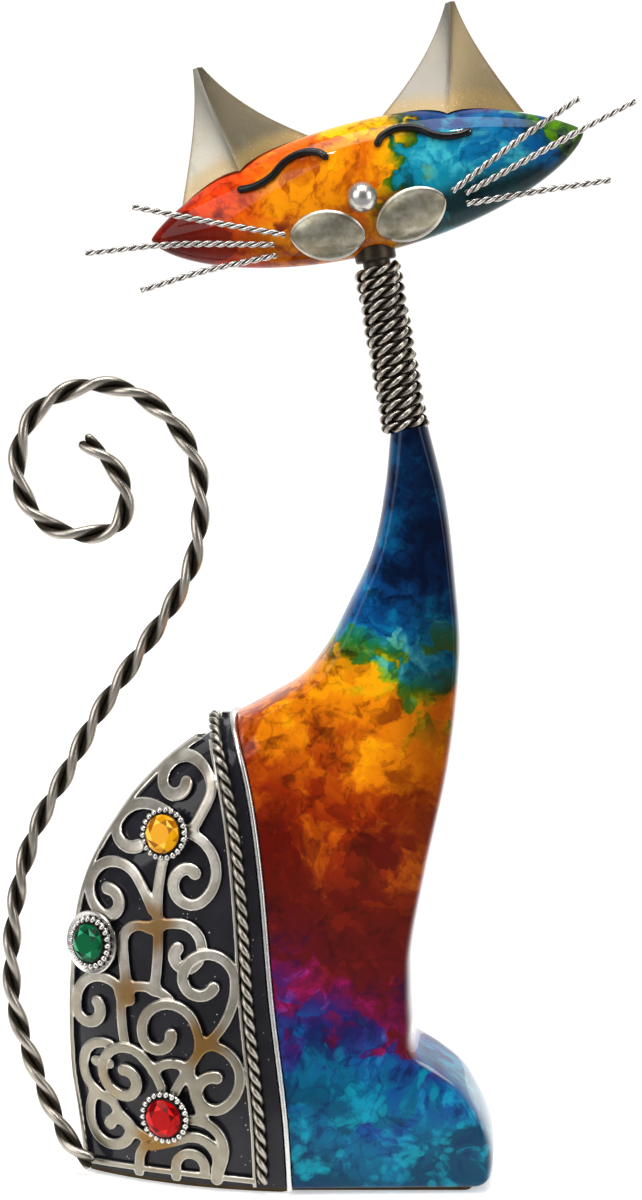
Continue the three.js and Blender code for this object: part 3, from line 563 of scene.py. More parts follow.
class Shader:
    """A material, or the surroundings, and the few calls that their recipes are written with."""

    def __init__(self, name, owner=None):
        self.owner = owner or bpy.data.materials.new(name)
        self.owner.use_nodes = True
        self.tree = self.owner.node_tree
        self.tree.nodes.clear()

    def node(self, kind, settings=None, sockets=None, out=0):
        made = self.tree.nodes.new(kind)
        for key, value in (settings or {}).items():
            if key == "stops":
                self.fill_ramp(made.color_ramp, value)
            else:
                setattr(made, key, value)
        for key, value in (sockets or {}).items():
            if isinstance(value, Value):
                self.tree.links.new(value.socket, made.inputs[key])
            else:
                made.inputs[key].default_value = value
        return Value(self, made.outputs[out]) if len(made.outputs) > out else None

    def fill_ramp(self, ramp, stops):
        while len(ramp.elements) < len(stops):
            ramp.elements.new(0.5)
        for element, (place, colour) in zip(ramp.elements, stops):
            element.position = place
            element.color = (*colour, 1)

    def place(self):
        return self.node("ShaderNodeTexCoord", out=3)

    def along(self, direction, place=None):
        sockets = {0: place or self.place(), 1: direction}
        return self.node("ShaderNodeVectorMath", {"operation": "DOT_PRODUCT"}, sockets, out=1)

    def moved(self, place, offset):
        return self.node("ShaderNodeVectorMath", {"operation": "ADD"}, {0: place, 1: offset})

    def distance_to(self, point, place=None):
        sockets = {0: place or self.place(), 1: point}
        return self.node("ShaderNodeVectorMath", {"operation": "DISTANCE"}, sockets, out=1)

    def mark(self, label):
        return self.node("ShaderNodeAttribute", {"attribute_name": label}, out=2)

    def noise(self, size, detail=3, roughness=0.5, distortion=0, place=None):
        sockets = {"Vector": place or self.place(), "Scale": 1 / size, "Detail": detail,
                   "Roughness": roughness, "Distortion": distortion}
        return self.node("ShaderNodeTexNoise", None, sockets)

    def spots(self, size, place=None):
        sockets = {"Vector": place or self.place(), "Scale": 1 / size}
        return self.node("ShaderNodeTexVoronoi", None, sockets)

    def warped(self, size, amount, place=None):
        """Place pushed about by noise, so that edges wander as run ink does."""
        place = place or self.place()
        colour = self.node("ShaderNodeTexNoise", None,
                           {"Vector": place, "Scale": 1 / size, "Detail": 4}, out=1)
        centred = self.node("ShaderNodeVectorMath", {"operation": "SUBTRACT"},
                            {0: colour, 1: (0.5, 0.5, 0.5)})
        pushed = self.node("ShaderNodeVectorMath", {"operation": "SCALE"},
                           {0: centred, "Scale": 2 * amount})
        return self.node("ShaderNodeVectorMath", {"operation": "ADD"}, {0: place, 1: pushed})

    def rise(self, value, low, high):
        """Smooth step from 0 below low to 1 above high."""
        sockets = {"Value": value, "From Min": low, "From Max": high}
        return self.node("ShaderNodeMapRange", {"interpolation_type": "SMOOTHSTEP"}, sockets)

    def ramp(self, value, stops):
        return self.node("ShaderNodeValToRGB", {"stops": stops}, {0: value})

    def mix(self, factor, first, second):
        first, second = ((*c, 1) if isinstance(c, tuple) else c for c in (first, second))
        sockets = {0: factor, 6: first, 7: second}
        return self.node("ShaderNodeMix", {"data_type": "RGBA"}, sockets, out=2)

    def bump(self, height, distance, strength=0.5):
        sockets = {"Height": height, "Distance": distance, "Strength": strength}
        return self.node("ShaderNodeBump", None, sockets)

    def metal(self, colour, roughness, grain, metallic=1.0):
        """Metal with a fine grain, given as its size, detail, depth and strength."""
        size, detail, depth, strength = grain
        normal = self.bump(self.noise(size, detail), depth, strength)
        return self.finish(base_color=colour, metallic=metallic, roughness=roughness,
                           normal=normal)

    def finish(self, **sockets):
        named = {key.replace("_", " ").title().replace("Ior", "IOR"): value
                 for key, value in sockets.items()}
        named = {key: ((*value, 1) if isinstance(value, tuple) else value)
                 for key, value in named.items()}
        surface = self.node("ShaderNodeBsdfPrincipled", None, named)
        self.node("ShaderNodeOutputMaterial", None, {"Surface": surface})
        return self.owner


def enamel_sheen(shader, colour):
    """Thick clear lacquer over paint, slightly wavy as it was poured."""
    waves = shader.noise(0.02, 1) + shader.noise(0.006, 1) * 0.12
    normal = shader.bump(waves, 0.0008)
    return shader.finish(base_color=colour, roughness=0.5, specular_ior_level=0.0,
                         coat_weight=1.0, coat_roughness=0.03, coat_ior=1.25, normal=normal)


def puddles(shader, place, size):
    """Random tone for each puddle of ink, and a line where two of them meet."""
    edged = shader.warped(size * 0.55, size * 0.42, place)
    frayed = shader.warped(size * 0.12, size * 0.05, edged)
    sockets = {"Vector": frayed, "Scale": 1 / size, "Smoothness": 0.18}
    colour = shader.node("ShaderNodeTexVoronoi", {"feature": "SMOOTH_F1"}, sockets, out=1)
    tone = shader.node("ShaderNodeSeparateColor", None, {0: colour})
    meeting = shader.node("ShaderNodeTexVoronoi", {"feature": "DISTANCE_TO_EDGE"},
                          {"Vector": frayed, "Scale": 1 / size})
    return tone, shader.rise(meeting, 0.09, 0.0)


def run_inks(shader, place, middle, deep, light):
    """Middle ink with soft clouds of light and deep ink, and dark grain where they dried."""
    tone, line = puddles(shader, shader.moved(place, (0, 0.3, 0)), 0.0085)
    cloud = shader.noise(0.013, 6, 0.6, 0.5, place) + 0.16 * (tone - 0.5)
    colour = shader.mix(shader.rise(cloud, 0.52, 0.66) * 0.75, middle, light)
    colour = shader.mix(shader.rise(cloud, 0.47, 0.34) * 0.8, colour, deep)
    blot = shader.noise(0.007, 5, 0.65, 0.3, shader.moved(place, (0, 0.4, 0)))
    colour = shader.mix(shader.rise(blot, 0.54, 0.68) * 0.75, colour, deep)
    where = shader.rise(shader.noise(0.014, 2, 0.5, 0, shader.moved(place, (0, 0.2, 0))), 0.45, 0.58)
    colour = shader.mix(line * where * 0.4, colour, deep)
    grain = shader.noise(0.0022, 5, 0.7)
    return shader.mix(shader.rise(grain, 0.53, 0.75) * 0.5, colour, deep)


def body_enamel():
    """Run inks in bands of colour from blue at the neck to turquoise at the paw."""
    shader = Shader("body_enamel")
    place = shader.warped(0.035, 0.010)
    tone, _ = puddles(shader, place, 0.015)
    small_tone, _ = puddles(shader, shader.moved(place, (0.3, 0, 0)), 0.007)
    across = shader.along((1, 0, 0), place)
    upward = shader.along((0, 0, 1), place)
    paw = shader.rise(across, 0.035, 0.041) * shader.rise(upward, 0.070, 0.055)
    height = upward + 0.40 * across.at_most(0.036) - 0.016 * paw
    height = height + 0.022 * (tone - 0.5) + 0.010 * (small_tone - 0.5)
    middle = shader.ramp(height / 0.24, [
        (0.06, (0.0005, 0.045, 0.095)), (0.14, (0.001, 0.11, 0.22)), (0.185, (0.004, 0.06, 0.24)),
        (0.215, (0.03, 0.010, 0.13)), (0.24, (0.15, 0.003, 0.045)), (0.27, (0.10, 0.004, 0.006)),
        (0.36, (0.10, 0.005, 0.002)), (0.44, (0.12, 0.006, 0.002)), (0.49, (0.30, 0.024, 0.002)),
        (0.53, (0.52, 0.08, 0.002)), (0.58, (0.78, 0.19, 0.002)), (0.64, (0.86, 0.25, 0.002)),
        (0.667, (0.60, 0.25, 0.002)), (0.685, (0.08, 0.15, 0.003)), (0.705, (0.010, 0.16, 0.03)),
        (0.73, (0.008, 0.20, 0.30)), (0.77, (0.003, 0.11, 0.32)), (0.84, (0.002, 0.045, 0.17)),
        (0.99, (0.002, 0.022, 0.08)),
    ])
    light = shader.ramp(height / 0.24, [
        (0.08, (0.001, 0.26, 0.35)), (0.18, (0.006, 0.30, 0.50)), (0.225, (0.10, 0.06, 0.40)),
        (0.245, (0.42, 0.005, 0.14)), (0.28, (0.20, 0.009, 0.005)), (0.42, (0.17, 0.011, 0.002)),
        (0.50, (0.70, 0.13, 0.002)), (0.58, (1.0, 0.36, 0.002)), (0.66, (1.0, 0.45, 0.002)),
        (0.69, (0.30, 0.52, 0.012)), (0.715, (0.14, 0.58, 0.30)), (0.74, (0.12, 0.60, 0.62)),
        (0.78, (0.003, 0.26, 0.48)), (0.86, (0.001, 0.13, 0.32)), (0.97, (0.001, 0.08, 0.20)),
    ])
    deep = shader.ramp(height / 0.24, [
        (0.10, (0.001, 0.022, 0.085)), (0.21, (0.004, 0.008, 0.07)), (0.25, (0.03, 0.002, 0.04)),
        (0.32, (0.035, 0.002, 0.002)), (0.52, (0.10, 0.010, 0.001)), (0.64, (0.22, 0.03, 0.001)),
        (0.685, (0.012, 0.014, 0.001)), (0.74, (0.001, 0.03, 0.05)), (0.80, (0.001, 0.003, 0.014)),
    ])
    shade = shader.rise(across, 0.024, 0.044) * shader.rise(upward, 0.060, 0.100)
    middle = shader.mix(shade * 0.85, middle, deep)
    light = shader.mix(shade * 0.75, light, deep)
    colour = run_inks(shader, place, middle, deep, light)
    drops = shader.rise(shader.spots(0.007, place), 0.30, 0.16) * shader.rise(height, 0.055, 0.035)
    return enamel_sheen(shader, shader.mix(drops * 0.45, colour, (0.001, 0.32, 0.42)))


def head_enamel():
    """Run inks along the head from dark red at the left tip to green at the right."""
    shader = Shader("head_enamel")
    cos, sin = math.cos(HEAD_TILT), math.sin(HEAD_TILT)
    middle = tuple(float(-v) for v in HEAD_CENTRE)
    centred = shader.moved(shader.place(), middle)
    place = shader.warped(0.025, 0.006, centred)
    tone, _ = puddles(shader, place, 0.012)
    small_tone, _ = puddles(shader, shader.moved(place, (0.3, 0, 0)), 0.006)
    along = shader.along((cos, 0, sin), place) + 0.012 * (tone - 0.5) + 0.006 * (small_tone - 0.5)
    up = shader.along((-sin, 0, cos), place) + 0.003 * (tone - 0.5)
    share = along / 0.13 + 0.5
    middle = shader.ramp(share, [
        (0.0, (0.05, 0.003, 0.003)), (0.08, (0.30, 0.012, 0.004)), (0.16, (0.78, 0.05, 0.006)),
        (0.25, (0.82, 0.11, 0.004)), (0.34, (0.90, 0.29, 0.003)), (0.46, (0.85, 0.26, 0.002)),
        (0.50, (0.62, 0.11, 0.002)), (0.55, (0.95, 0.36, 0.002)), (0.585, (0.14, 0.20, 0.003)),
        (0.605, (0.008, 0.09, 0.005)), (0.63, (0.005, 0.24, 0.34)), (0.76, (0.005, 0.20, 0.38)),
        (0.87, (0.003, 0.08, 0.25)), (0.92, (0.005, 0.06, 0.015)), (0.955, (0.10, 0.25, 0.005)),
        (1.0, (0.002, 0.005, 0.002)),
    ])
    light = shader.ramp(share, [
        (0.10, (0.60, 0.03, 0.008)), (0.25, (1.0, 0.22, 0.004)), (0.40, (1.0, 0.46, 0.003)),
        (0.58, (1.0, 0.50, 0.003)), (0.61, (0.14, 0.30, 0.01)), (0.64, (0.06, 0.50, 0.56)),
        (0.80, (0.06, 0.52, 0.62)), (0.92, (0.10, 0.25, 0.01)),
    ])
    deep = shader.ramp(share, [
        (0.05, (0.02, 0.002, 0.003)), (0.20, (0.25, 0.010, 0.003)), (0.45, (0.36, 0.045, 0.002)),
        (0.58, (0.16, 0.03, 0.002)), (0.61, (0.003, 0.02, 0.008)), (0.75, (0.002, 0.05, 0.15)),
        (0.90, (0.002, 0.012, 0.03)),
    ])
    crown = shader.ramp(share, [
        (0.30, (0.80, 0.065, 0.010)), (0.42, (0.92, 0.14, 0.004)), (0.46, (1.0, 0.56, 0.003)),
        (0.57, (0.95, 0.50, 0.003)), (0.60, (0.012, 0.05, 0.02)), (0.65, (0.025, 0.035, 0.22)),
        (0.92, (0.03, 0.02, 0.11)),
    ])
    top = shader.rise(up, 0.0095, 0.0135)
    middle = shader.mix(top * 0.85, middle, crown)
    colour = run_inks(shader, place, middle, deep, light)
    boundary = up - 0.5 * (-0.018 - along).at_least(0) - 0.6 * (along - 0.048).at_least(0)
    low = shader.rise(boundary, -0.0065, -0.0115)
    right = shader.rise(along, 0.009, 0.013)
    lower = shader.mix(right, (0.12, 0.007, 0.003), (0.003, 0.012, 0.005))
    mottled = shader.mix(shader.rise(tone, 0.3, 0.7) * 0.5, lower, colour)
    colour = shader.mix(low * 0.92, colour, mottled)
    return enamel_sheen(shader, colour)


def lacquer(name, colour, glint_colour, glint_patch, waves, coat):
    """Gloss lacquer over sheet, slightly wavy, with a few pale specks in patches that are painted
    glints.
    """
    shader = Shader(name)
    if isinstance(colour, list):
        colour = shader.ramp(shader.noise(0.012, 3), colour)
    # Pale specks painted into the colour: painted glints.
    specks = shader.rise(shader.spots(0.0016), 0.16, 0.10)
    size, low, high = glint_patch
    few = shader.rise(shader.noise(size, 1), low, high)
    colour = shader.mix(specks * few, colour, glint_colour)
    (size, fine_share, depth), (coat_roughness, coat_ior) = waves, coat
    height = shader.noise(size, 2)
    if fine_share:
        height = height + fine_share * shader.noise(0.002, 1)
    return shader.finish(base_color=colour, roughness=0.4, specular_ior_level=0.1,
                         coat_weight=1.0, coat_roughness=coat_roughness, coat_ior=coat_ior,
                         normal=shader.bump(height, depth))


def brow_lacquer():
    # (0.6, 0.6, 0.58) is the colour of the painted glints.
    return lacquer("black_lacquer", (0.004, 0.003, 0.003), (0.6, 0.6, 0.58), (0.003, 0.6, 0.66),
                   (0.006, 0, 0.0006), (0.04, 1.28))


def shell_lacquer():
    """Blue-black behind the openwork, uneven where it was brushed between the scrolls."""
    uneven = [(0.35, (0.005, 0.0045, 0.008)), (0.7, (0.016, 0.015, 0.021))]
    # (0.55, 0.55, 0.53) is the colour of the painted glints.
    return lacquer("shell_lacquer", uneven, (0.55, 0.55, 0.53), (0.004, 0.58, 0.64),
                   (0.009, 0.2, 0.0008), (0.06, 1.33))


def worn_nickel(name, bright, dark, roughness, patches=()):
    """Satin plating: brighter on the cut edges, partly rubbed and partly a painted highlight; brown
    where solder took hold.
    """
    shader = Shader(name)
    mottle = shader.noise(0.006, 5, 0.65)
    colour = shader.mix(shader.rise(mottle, 0.35, 0.7), dark, bright)
    if patches:
        low = shader.rise(shader.along((0, 0, 1)), 0.075, 0.045)
        colour = shader.mix(low * 0.85, colour, shader.mix(mottle, (0.19, 0.165, 0.115),
                                                           (0.36, 0.33, 0.25)))
        # Cut edges painted brighter: partly rubbed plating, partly a painted highlight.
        rubbed = shader.rise(shader.mark("edge"), 0.0006, 0.0001)
        colour = shader.mix(rubbed * 0.55, colour, (0.90, 0.88, 0.81))
    for x, z in patches:
        away = shader.distance_to((x, -0.02, z), shader.warped(0.005, 0.0015))
        colour = shader.mix(shader.rise(away, 0.0112, 0.0045) * 0.85, colour, (0.24, 0.115, 0.013))
    rough = roughness + 0.15 * shader.noise(0.002, 2)
    return shader.metal(colour, rough, (0.0006, 2, 0.00005, 0.5))


def twisted_metal(name, bright, dark, roughness=0.3, low=-0.1, high=0.75):
    """Antiqued wire: dark in the grooves between the strands, rubbed bright on the crowns."""
    shader = Shader(name)
    crown = shader.mark("crown")
    mottle = shader.noise(0.0035, 4, 0.65)
    clean = shader.rise(crown + 0.5 * (mottle - 0.5), low, high)
    colour = shader.mix(clean, dark, bright)
    blotch = shader.rise(shader.noise(0.012, 3), 0.5, 0.68)
    colour = shader.mix(blotch * 0.35, colour, dark)
    rough = roughness + 0.25 * (1 - clean)
    return shader.metal(colour, rough, (0.0007, 3, 0.00006, 0.6))


def silver():
    """Bright plating of the strip, dull in places."""
    shader = Shader("bright_silver")
    mottle = shader.noise(0.003, 3)
    dull = shader.rise(mottle, 0.4, 0.75) * 0.6
    colour = shader.mix(dull, (0.74, 0.73, 0.70), (0.5328, 0.5256, 0.504))
    return shader.metal(colour, 0.22 + 0.1 * mottle, (0.0008, 2, 0.00005, 0.5))


def pearl():
    """Clouded pearly metal of the nose."""
    shader = Shader("pearly_silver")
    cloud = shader.noise(0.002, 2)
    colour = shader.mix(cloud, (0.46, 0.43, 0.39), (0.66, 0.64, 0.60))
    return shader.finish(base_color=colour, metallic=0.95, roughness=0.24 + 0.08 * cloud,
                         coat_weight=0.3, coat_roughness=0.08)


def ear_metal(name, inner, outer, glow):
    """Champagne sheet: the flange facing the light painted lighter and the other darker, as painted
    light and shade; gold specks at the foot.
    """
    shader = Shader(name)
    across = shader.mark("across")
    upward = shader.mark("upward")
    cloud = shader.noise(0.012, 4, 0.6)
    # inner is the tone of the lit flange, outer that of the shaded flange: painted light and shade.
    side = shader.rise(across + 0.1 * (cloud - 0.5), -0.08, 0.08)
    colour = shader.mix(side, inner, outer)
    colour = shader.mix(shader.rise(cloud, 0.5, 0.75) * 0.5, colour, glow)
    foot = shader.rise(upward + 0.15 * (cloud - 0.5), 0.22, 0.05)
    colour = shader.mix(foot * 0.6, colour, (0.42, 0.28, 0.10))
    speck = shader.rise(shader.noise(0.0005, 2), 0.68, 0.74)
    near_crease = shader.rise(abs(across), 0.25, 0.05)
    colour = shader.mix(speck * (foot * 0.6 + near_crease * 0.3), colour, (0.95, 0.85, 0.62))
    edge = shader.rise(abs(across), 0.9, 0.99)
    colour = shader.mix(edge * 0.6, colour, (0.16, 0.11, 0.05))
    rough = 0.32 + 0.15 * cloud
    return shader.metal(colour, rough, (0.0009, 3, 0.00006, 0.6), metallic=0.92)


def plate_metal():
    """Satin champagne plate with a bright rim, partly rubbed and partly a painted highlight."""
    shader = Shader("champagne_plate")
    # Bright band all round the rim: partly rubbed, partly a painted highlight.
    rim = shader.rise(shader.mark("edge"), 0.0008, 0.0004)
    cloud = shader.noise(0.004, 4, 0.6)
    colour = shader.mix(shader.rise(cloud, 0.35, 0.7), (0.24, 0.22, 0.15), (0.44, 0.41, 0.32))
    colour = shader.mix(rim * 0.7, colour, (0.62, 0.59, 0.52))
    return shader.metal(colour, 0.34 + 0.1 * cloud, (0.0008, 3, 0.00006, 0.6))


def stone(name, colour, deep, light):
    """Foiled faceted stone: each facet painted in its own tone as a painted reflection, with a faint
    painted glow.
    """
    shader = Shader(name)
    # The random tone of each facet picks deep, the stone's colour or light: painted reflections.
    facet = shader.mark("facet")
    painted_reflection_colour = shader.mix(shader.rise(facet, 0.1, 0.6), deep, colour)
    painted_reflection_colour = shader.mix(shader.rise(facet, 0.72, 0.95) * 0.7, painted_reflection_colour, light)
    # The same colour also glows faintly: painted glow.
    return shader.finish(base_color=painted_reflection_colour, roughness=0.1, specular_ior_level=0.05, coat_weight=0.35,
                         coat_roughness=0.02, coat_ior=1.3, emission_color=painted_reflection_colour,
                         emission_strength=0.12)


def bronze():
    """Dark bronzed underside plate."""
    shader = Shader("bronzed_base")
    mottle = shader.noise(0.006, 4, 0.6)
    colour = shader.mix(mottle, (0.035, 0.024, 0.012), (0.11, 0.078, 0.04))
    return shader.metal(colour, 0.45 + 0.1 * mottle, (0.001, 2, 0.0001, 0.5))


# Pieces of the body and the haunch

def base_plate(finish):
    """Thin plate under the whole figure."""
    back = value_at(HAUNCH_BACK_X, 0) + 0.0015
    front = value_at(CHEST_X, 0) - LIP_INSET - BASE_INSET
    middle = value_at(DIVIDER_X, 0)
    x = back + (front - back) * (1 - np.cos(np.linspace(0, math.pi, 60))) / 2
    depth = np.where(x < middle, haunch_depth(x, 0), body_depth(x, 0, middle - 0.03, front))
    depth = np.maximum(depth - LIP_INSET - BASE_INSET, 0)
    points, faces = loft([mirrored_ring(x, depth, z) for z in (0, BASE_THICKNESS)])
    make_piece("base", points, faces, finish, "base_plate", "bronze")


def body(finish):
    """Neck, chest and paw as one skin, drawn in at the foot."""
    low = np.concatenate([np.linspace(FLOOR_GAP, LIP_HEIGHT, 8), np.linspace(0.006, 0.1405, 90)])
    heights = np.concatenate([low, [CREST - 0.0002, CREST], np.linspace(0.1428, BODY_TOP, 60)])
    rings = []
    for z in heights:
        lip = max((LIP_HEIGHT - z) / (LIP_HEIGHT - FLOOR_GAP), 0)
        inset = LIP_INSET * (1 - math.sqrt(1 - min(lip * lip, 1)))
        gap = STRIP_THICKNESS / 2 + FIT_GAP
        if z < CREST:
            left = value_at(DIVIDER_X, z) + gap
        else:
            left = value_at(SPINE_X, z) + gap + FIT_GAP
        right = value_at(CHEST_X, z) - inset
        x = left + (right - left) * (1 - np.cos(np.linspace(0, math.pi, 56))) / 2
        depth = np.maximum(body_depth(x, z, left, right) - inset, 0)
        rings.append(mirrored_ring(x, depth, sloped_height(x, z, left)))
    points, faces = loft(rings)
    make_piece("enamelled_body", points, faces, finish, "body", "enamel", sharp=40)


def divider_strip(finish):
    """Strip with softened edges between the body and the haunch."""
    heights = np.concatenate([np.linspace(FLOOR_GAP, 0.125, 60), np.linspace(0.1265, 0.1425, 24)])
    half = STRIP_THICKNESS / 2
    rings = []
    for z in heights:
        x = value_at(DIVIDER_X, z)
        share = arch_share(z, CREST + STRIP_PROUD)
        depth = value_at(HALF_DEPTH, z) * share + STRIP_PROUD
        corners = [(-half, depth - STRIP_SOFT_EDGE), (STRIP_SOFT_EDGE - half, depth),
                   (half - STRIP_SOFT_EDGE, depth), (half, depth - STRIP_SOFT_EDGE)]
        near = [(x + a, -b, z) for a, b in corners]
        far = [(x + a, b, z) for a, b in reversed(corners)]
        rings.append(near + far)
    points, faces = loft(rings)
    make_piece("silver_strip", points, faces, finish, "divider_strip", "bright_silver", sharp=60)


def haunch_shell(finish):
    """Shell behind the openwork, up to the crest."""
    heights = np.concatenate([np.linspace(FLOOR_GAP, 0.11, 50), np.linspace(0.112, SHELL_TOP, 26)])
    rings = []
    for z in heights:
        right = value_at(DIVIDER_X, z) - STRIP_THICKNESS / 2 - 2 * FIT_GAP
        left = value_at(HAUNCH_BACK_X, min(z + SHELL_BACK_LIFT, CREST)) + SHELL_BACK_GAP
        left = min(left, SHELL_CREST_X)
        x = left + (right - left) * np.sin(np.linspace(0, math.pi / 2, 40))
        depth = haunch_depth(x, z) - SHELL_INSET
        front = np.stack([x, -depth, np.full_like(x, z)], axis=1)
        back = np.stack([x, depth, np.full_like(x, z)], axis=1)[::-1]
        rings.append(np.vstack([front, back]))
    points, faces = loft(rings)
    make_piece("lacquered_shell", points, faces, finish, "haunch_shell", "black_lacquer", sharp=45)


def haunch_rim(finish):
    """Band round the back edge, with a rolled bead along each side."""
    heights = np.arange(FLOOR_GAP, 0.112, 0.006)
    line = [(value_at(HAUNCH_BACK_X, z), 0, z) for z in heights]
    line += [(x, 0, height_at_back(x)) for x in np.arange(-0.05, -0.0289, 0.0015)]
    route = smooth_line(line, RIM_STEP)
    tangents = unit_tangents(route)
    inward = np.stack([tangents[:, 2], np.zeros(len(route)), -tangents[:, 0]], axis=1)
    section = []
    for y in np.linspace(-1, 1, 25):
        bead = max(1 - ((abs(y) - RIM_ROLL_PLACE) / (1 - RIM_ROLL_PLACE)) ** 2, 0) ** 0.5
        section.append((y * RIM_HALF_WIDTH, RIM_ROLL * (1 - bead)))
    section += [(RIM_HALF_WIDTH, RIM_THICKNESS), (-RIM_HALF_WIDTH, RIM_THICKNESS)]
    rings = [[point + inwards * b + np.array([0, a, 0]) for a, b in section]
             for point, inwards in zip(route, inward)]
    points, faces = loft(rings)
    make_piece("rolled_rim", points, faces, finish, "haunch_rim", "warm_nickel", sharp=40)


# Openwork: the sheet is found as the region where the scrolls, the edge bands and the pads are

def scroll_line(start, heading, arcs):
    """Centre line of one scroll as close points."""
    x, z = start
    heading = math.radians(heading)
    line = [(x, z)]
    for radius, degrees in arcs:
        turn = math.radians(degrees)
        side = math.copysign(1, turn)
        centre_x = x - side * radius * math.sin(heading)
        centre_z = z + side * radius * math.cos(heading)
        count = max(int(abs(turn) * radius / 0.0006), 6)
        for a in heading + turn * np.arange(1, count + 1) / count:
            line.append((centre_x + side * radius * math.sin(a),
                         centre_z - side * radius * math.cos(a)))
        x, z = line[-1]
        heading += turn
    return np.array(line)


def inside_line(grid, line, half_width):
    """How far inside a band each grid place is, negative outside."""
    starts, ends = line[:-1], line[1:]
    step = ends - starts
    best = np.full(len(grid), -1.0)
    for start, move, width in zip(starts, step, half_width[:-1]):
        offset = grid - start
        share = np.clip(offset @ move / max(move @ move, 1e-12), 0, 1)
        away = np.hypot(*(offset - share[:, None] * move).T)
        np.maximum(best, width - away, out=best)
    return best


def filleted(first, second):
    """Union of two regions, with a small fillet in the corners between them."""
    close = np.maximum(FILLET - np.abs(first - second), 0) / FILLET
    return np.maximum(first, second) + close * close * FILLET / 4


def layer_inside(grid, near_side, wanted):
    """How far inside one layer of scrolls each place in the side view is."""
    inside = np.full(len(grid), -1.0)
    for start, heading, arcs, near_only, layer in SCROLLS:
        if layer != wanted or near_only and not near_side:
            continue
        line = scroll_line(start, heading, arcs)
        width = np.full(len(line), BAND_HALF_WIDTH)
        if len(arcs) > 2:
            width += (HEAD_HALF_WIDTH - BAND_HALF_WIDTH) * np.linspace(0, 1, len(line)) ** 2
        low, high = line.min(axis=0) - 0.004, line.max(axis=0) + 0.004
        close = np.all((grid > low) & (grid < high), axis=1)
        inside[close] = filleted(inside[close], inside_line(grid[close], line, width))
    return inside


def openwork_inside(grid, near_side):
    """How far inside the lower and the upper layer each place is, negative in the openings."""
    low = layer_inside(grid, near_side, 0)
    for x, z in JEWELS.values():
        np.maximum(low, PAD_RADIUS - np.hypot(grid[:, 0] - x, grid[:, 1] - z), out=low)
    slope = np.gradient(CREST_BACKS, CREST_HEIGHTS)
    lean = np.interp(grid[:, 1], CREST_HEIGHTS, slope, left=0)
    from_back = grid[:, 0] - value_at(HAUNCH_BACK_X, grid[:, 1]) - 0.0002
    from_back = from_back / np.sqrt(1 + lean * lean)
    edge_band = np.minimum(from_back, 2 * EDGE_HALF_WIDTH - from_back)
    foot = FOOT_Z - FOOT_SAG * ((grid[:, 0] + 0.034) / 0.028) ** 2
    foot_band = EDGE_HALF_WIDTH + 0.0001 - np.abs(grid[:, 1] - foot)
    from_rope = rope_x(grid[:, 1]) - ROPE_RADIUS - FIT_GAP - grid[:, 0]
    rope_band = np.minimum(from_rope, ROPE_BAND_WIDTH - from_rope)
    low = np.maximum.reduce([low, edge_band, foot_band, rope_band])
    field = np.minimum.reduce([from_back, from_rope, grid[:, 1] - 0.002])
    high = np.minimum(layer_inside(grid, near_side, 1), field)
    return np.minimum(low, field), high


def sheet_mesh(inside_of):
    """Triangles of the region where inside_of is positive, cut cleanly along its edge."""
    xs, zs = (np.arange(low, high, GRID_STEP) for low, high in zip(GRID_LOW, GRID_HIGH))
    grid = np.stack(np.meshgrid(xs, zs, indexing="ij"), axis=-1)
    inside = inside_of(grid.reshape(-1, 2)).reshape(len(xs), len(zs))
    least = 0.03 * GRID_STEP
    inside = np.where(np.abs(inside) < least, least, inside)
    points, found, faces = [], {}, []

    def corner(i, j):
        if (i, j) not in found:
            found[i, j] = len(points)
            points.append((*grid[i, j], inside[i, j]))
        return found[i, j]

    def crossing(a, b):
        key = (a, b) if a < b else (b, a)
        if key not in found:
            va, vb = inside[key[0]], inside[key[1]]
            t = va / (va - vb)
            found[key] = len(points)
            points.append((*(grid[key[0]] * (1 - t) + grid[key[1]] * t), 0.0))
        return found[key]

    for i in range(len(xs) - 1):
        for j in range(len(zs) - 1):
            cell = [(i, j), (i + 1, j), (i + 1, j + 1), (i, j + 1)]
            solid = [inside[c] > 0 for c in cell]
            if not any(solid):
                continue
            if all(solid):
                faces.append([corner(*c) for c in cell])
                continue
            ring = []
            for k in range(4):
                here, after = cell[k], cell[(k + 1) % 4]
                if solid[k]:
                    ring.append(corner(*here))
                if solid[k] != solid[(k + 1) % 4]:
                    ring.append(crossing(here, after))
            if sum(solid) == 2 and solid[0] == solid[2]:
                middle = inside[i, j] + inside[i + 1, j] + inside[i + 1, j + 1] + inside[i, j + 1]
                if middle <= 0:
                    start = 5 if solid[0] else 1
                    turned = ring[start:] + ring[:start]
                    faces.append(turned[:3])
                    faces.append(turned[3:])
                    continue
            faces.append(ring)
    return np.array(points), faces


def openwork(name, side, finish):
    """One openwork sheet laid over the haunch, with softened cut edges and two layers."""
    flat, cells = sheet_mesh(lambda grid: np.maximum(*openwork_inside(grid, side < 0)))
    x, z, _ = flat.T
    lower, upper = openwork_inside(flat[:, :2], side < 0)
    over = np.clip(1 - lower / ROUND_OVER, 0, 1)
    dip = EDGE_DIP * (1 - np.sqrt(1 - np.minimum(over * over, 1)))
    climb = np.clip(1 - upper / ROUND_OVER, 0, 1)
    rise = LAYER_RISE * np.sqrt(1 - np.minimum(climb * climb, 1))
    height = np.where(upper > 0, np.maximum(rise, np.where(lower > 0, -dip, rise - EDGE_DIP)), -dip)
    depth = haunch_depth(x, z)
    front = np.stack([x, side * (depth + height), z], axis=1)
    back = np.stack([x, side * (depth - SHEET), z], axis=1)
    count = len(front)
    faces = [tuple(cell) for cell in cells]
    sides = set()
    for cell in cells:
        for a, b in zip(cell, cell[1:] + cell[:1]):
            if (b, a) in sides:
                sides.remove((b, a))
            else:
                sides.add((a, b))
    faces += [tuple(i + count for i in reversed(cell)) for cell in cells]
    faces += [(b, a, a + count, b + count) for a, b in sorted(sides)]
    edge = np.where(upper > 0, upper, lower)
    make_piece(name, np.vstack([front, back]), faces, finish, name, "warm_nickel", sharp=60,
               marks={"edge": np.concatenate([edge, edge])})


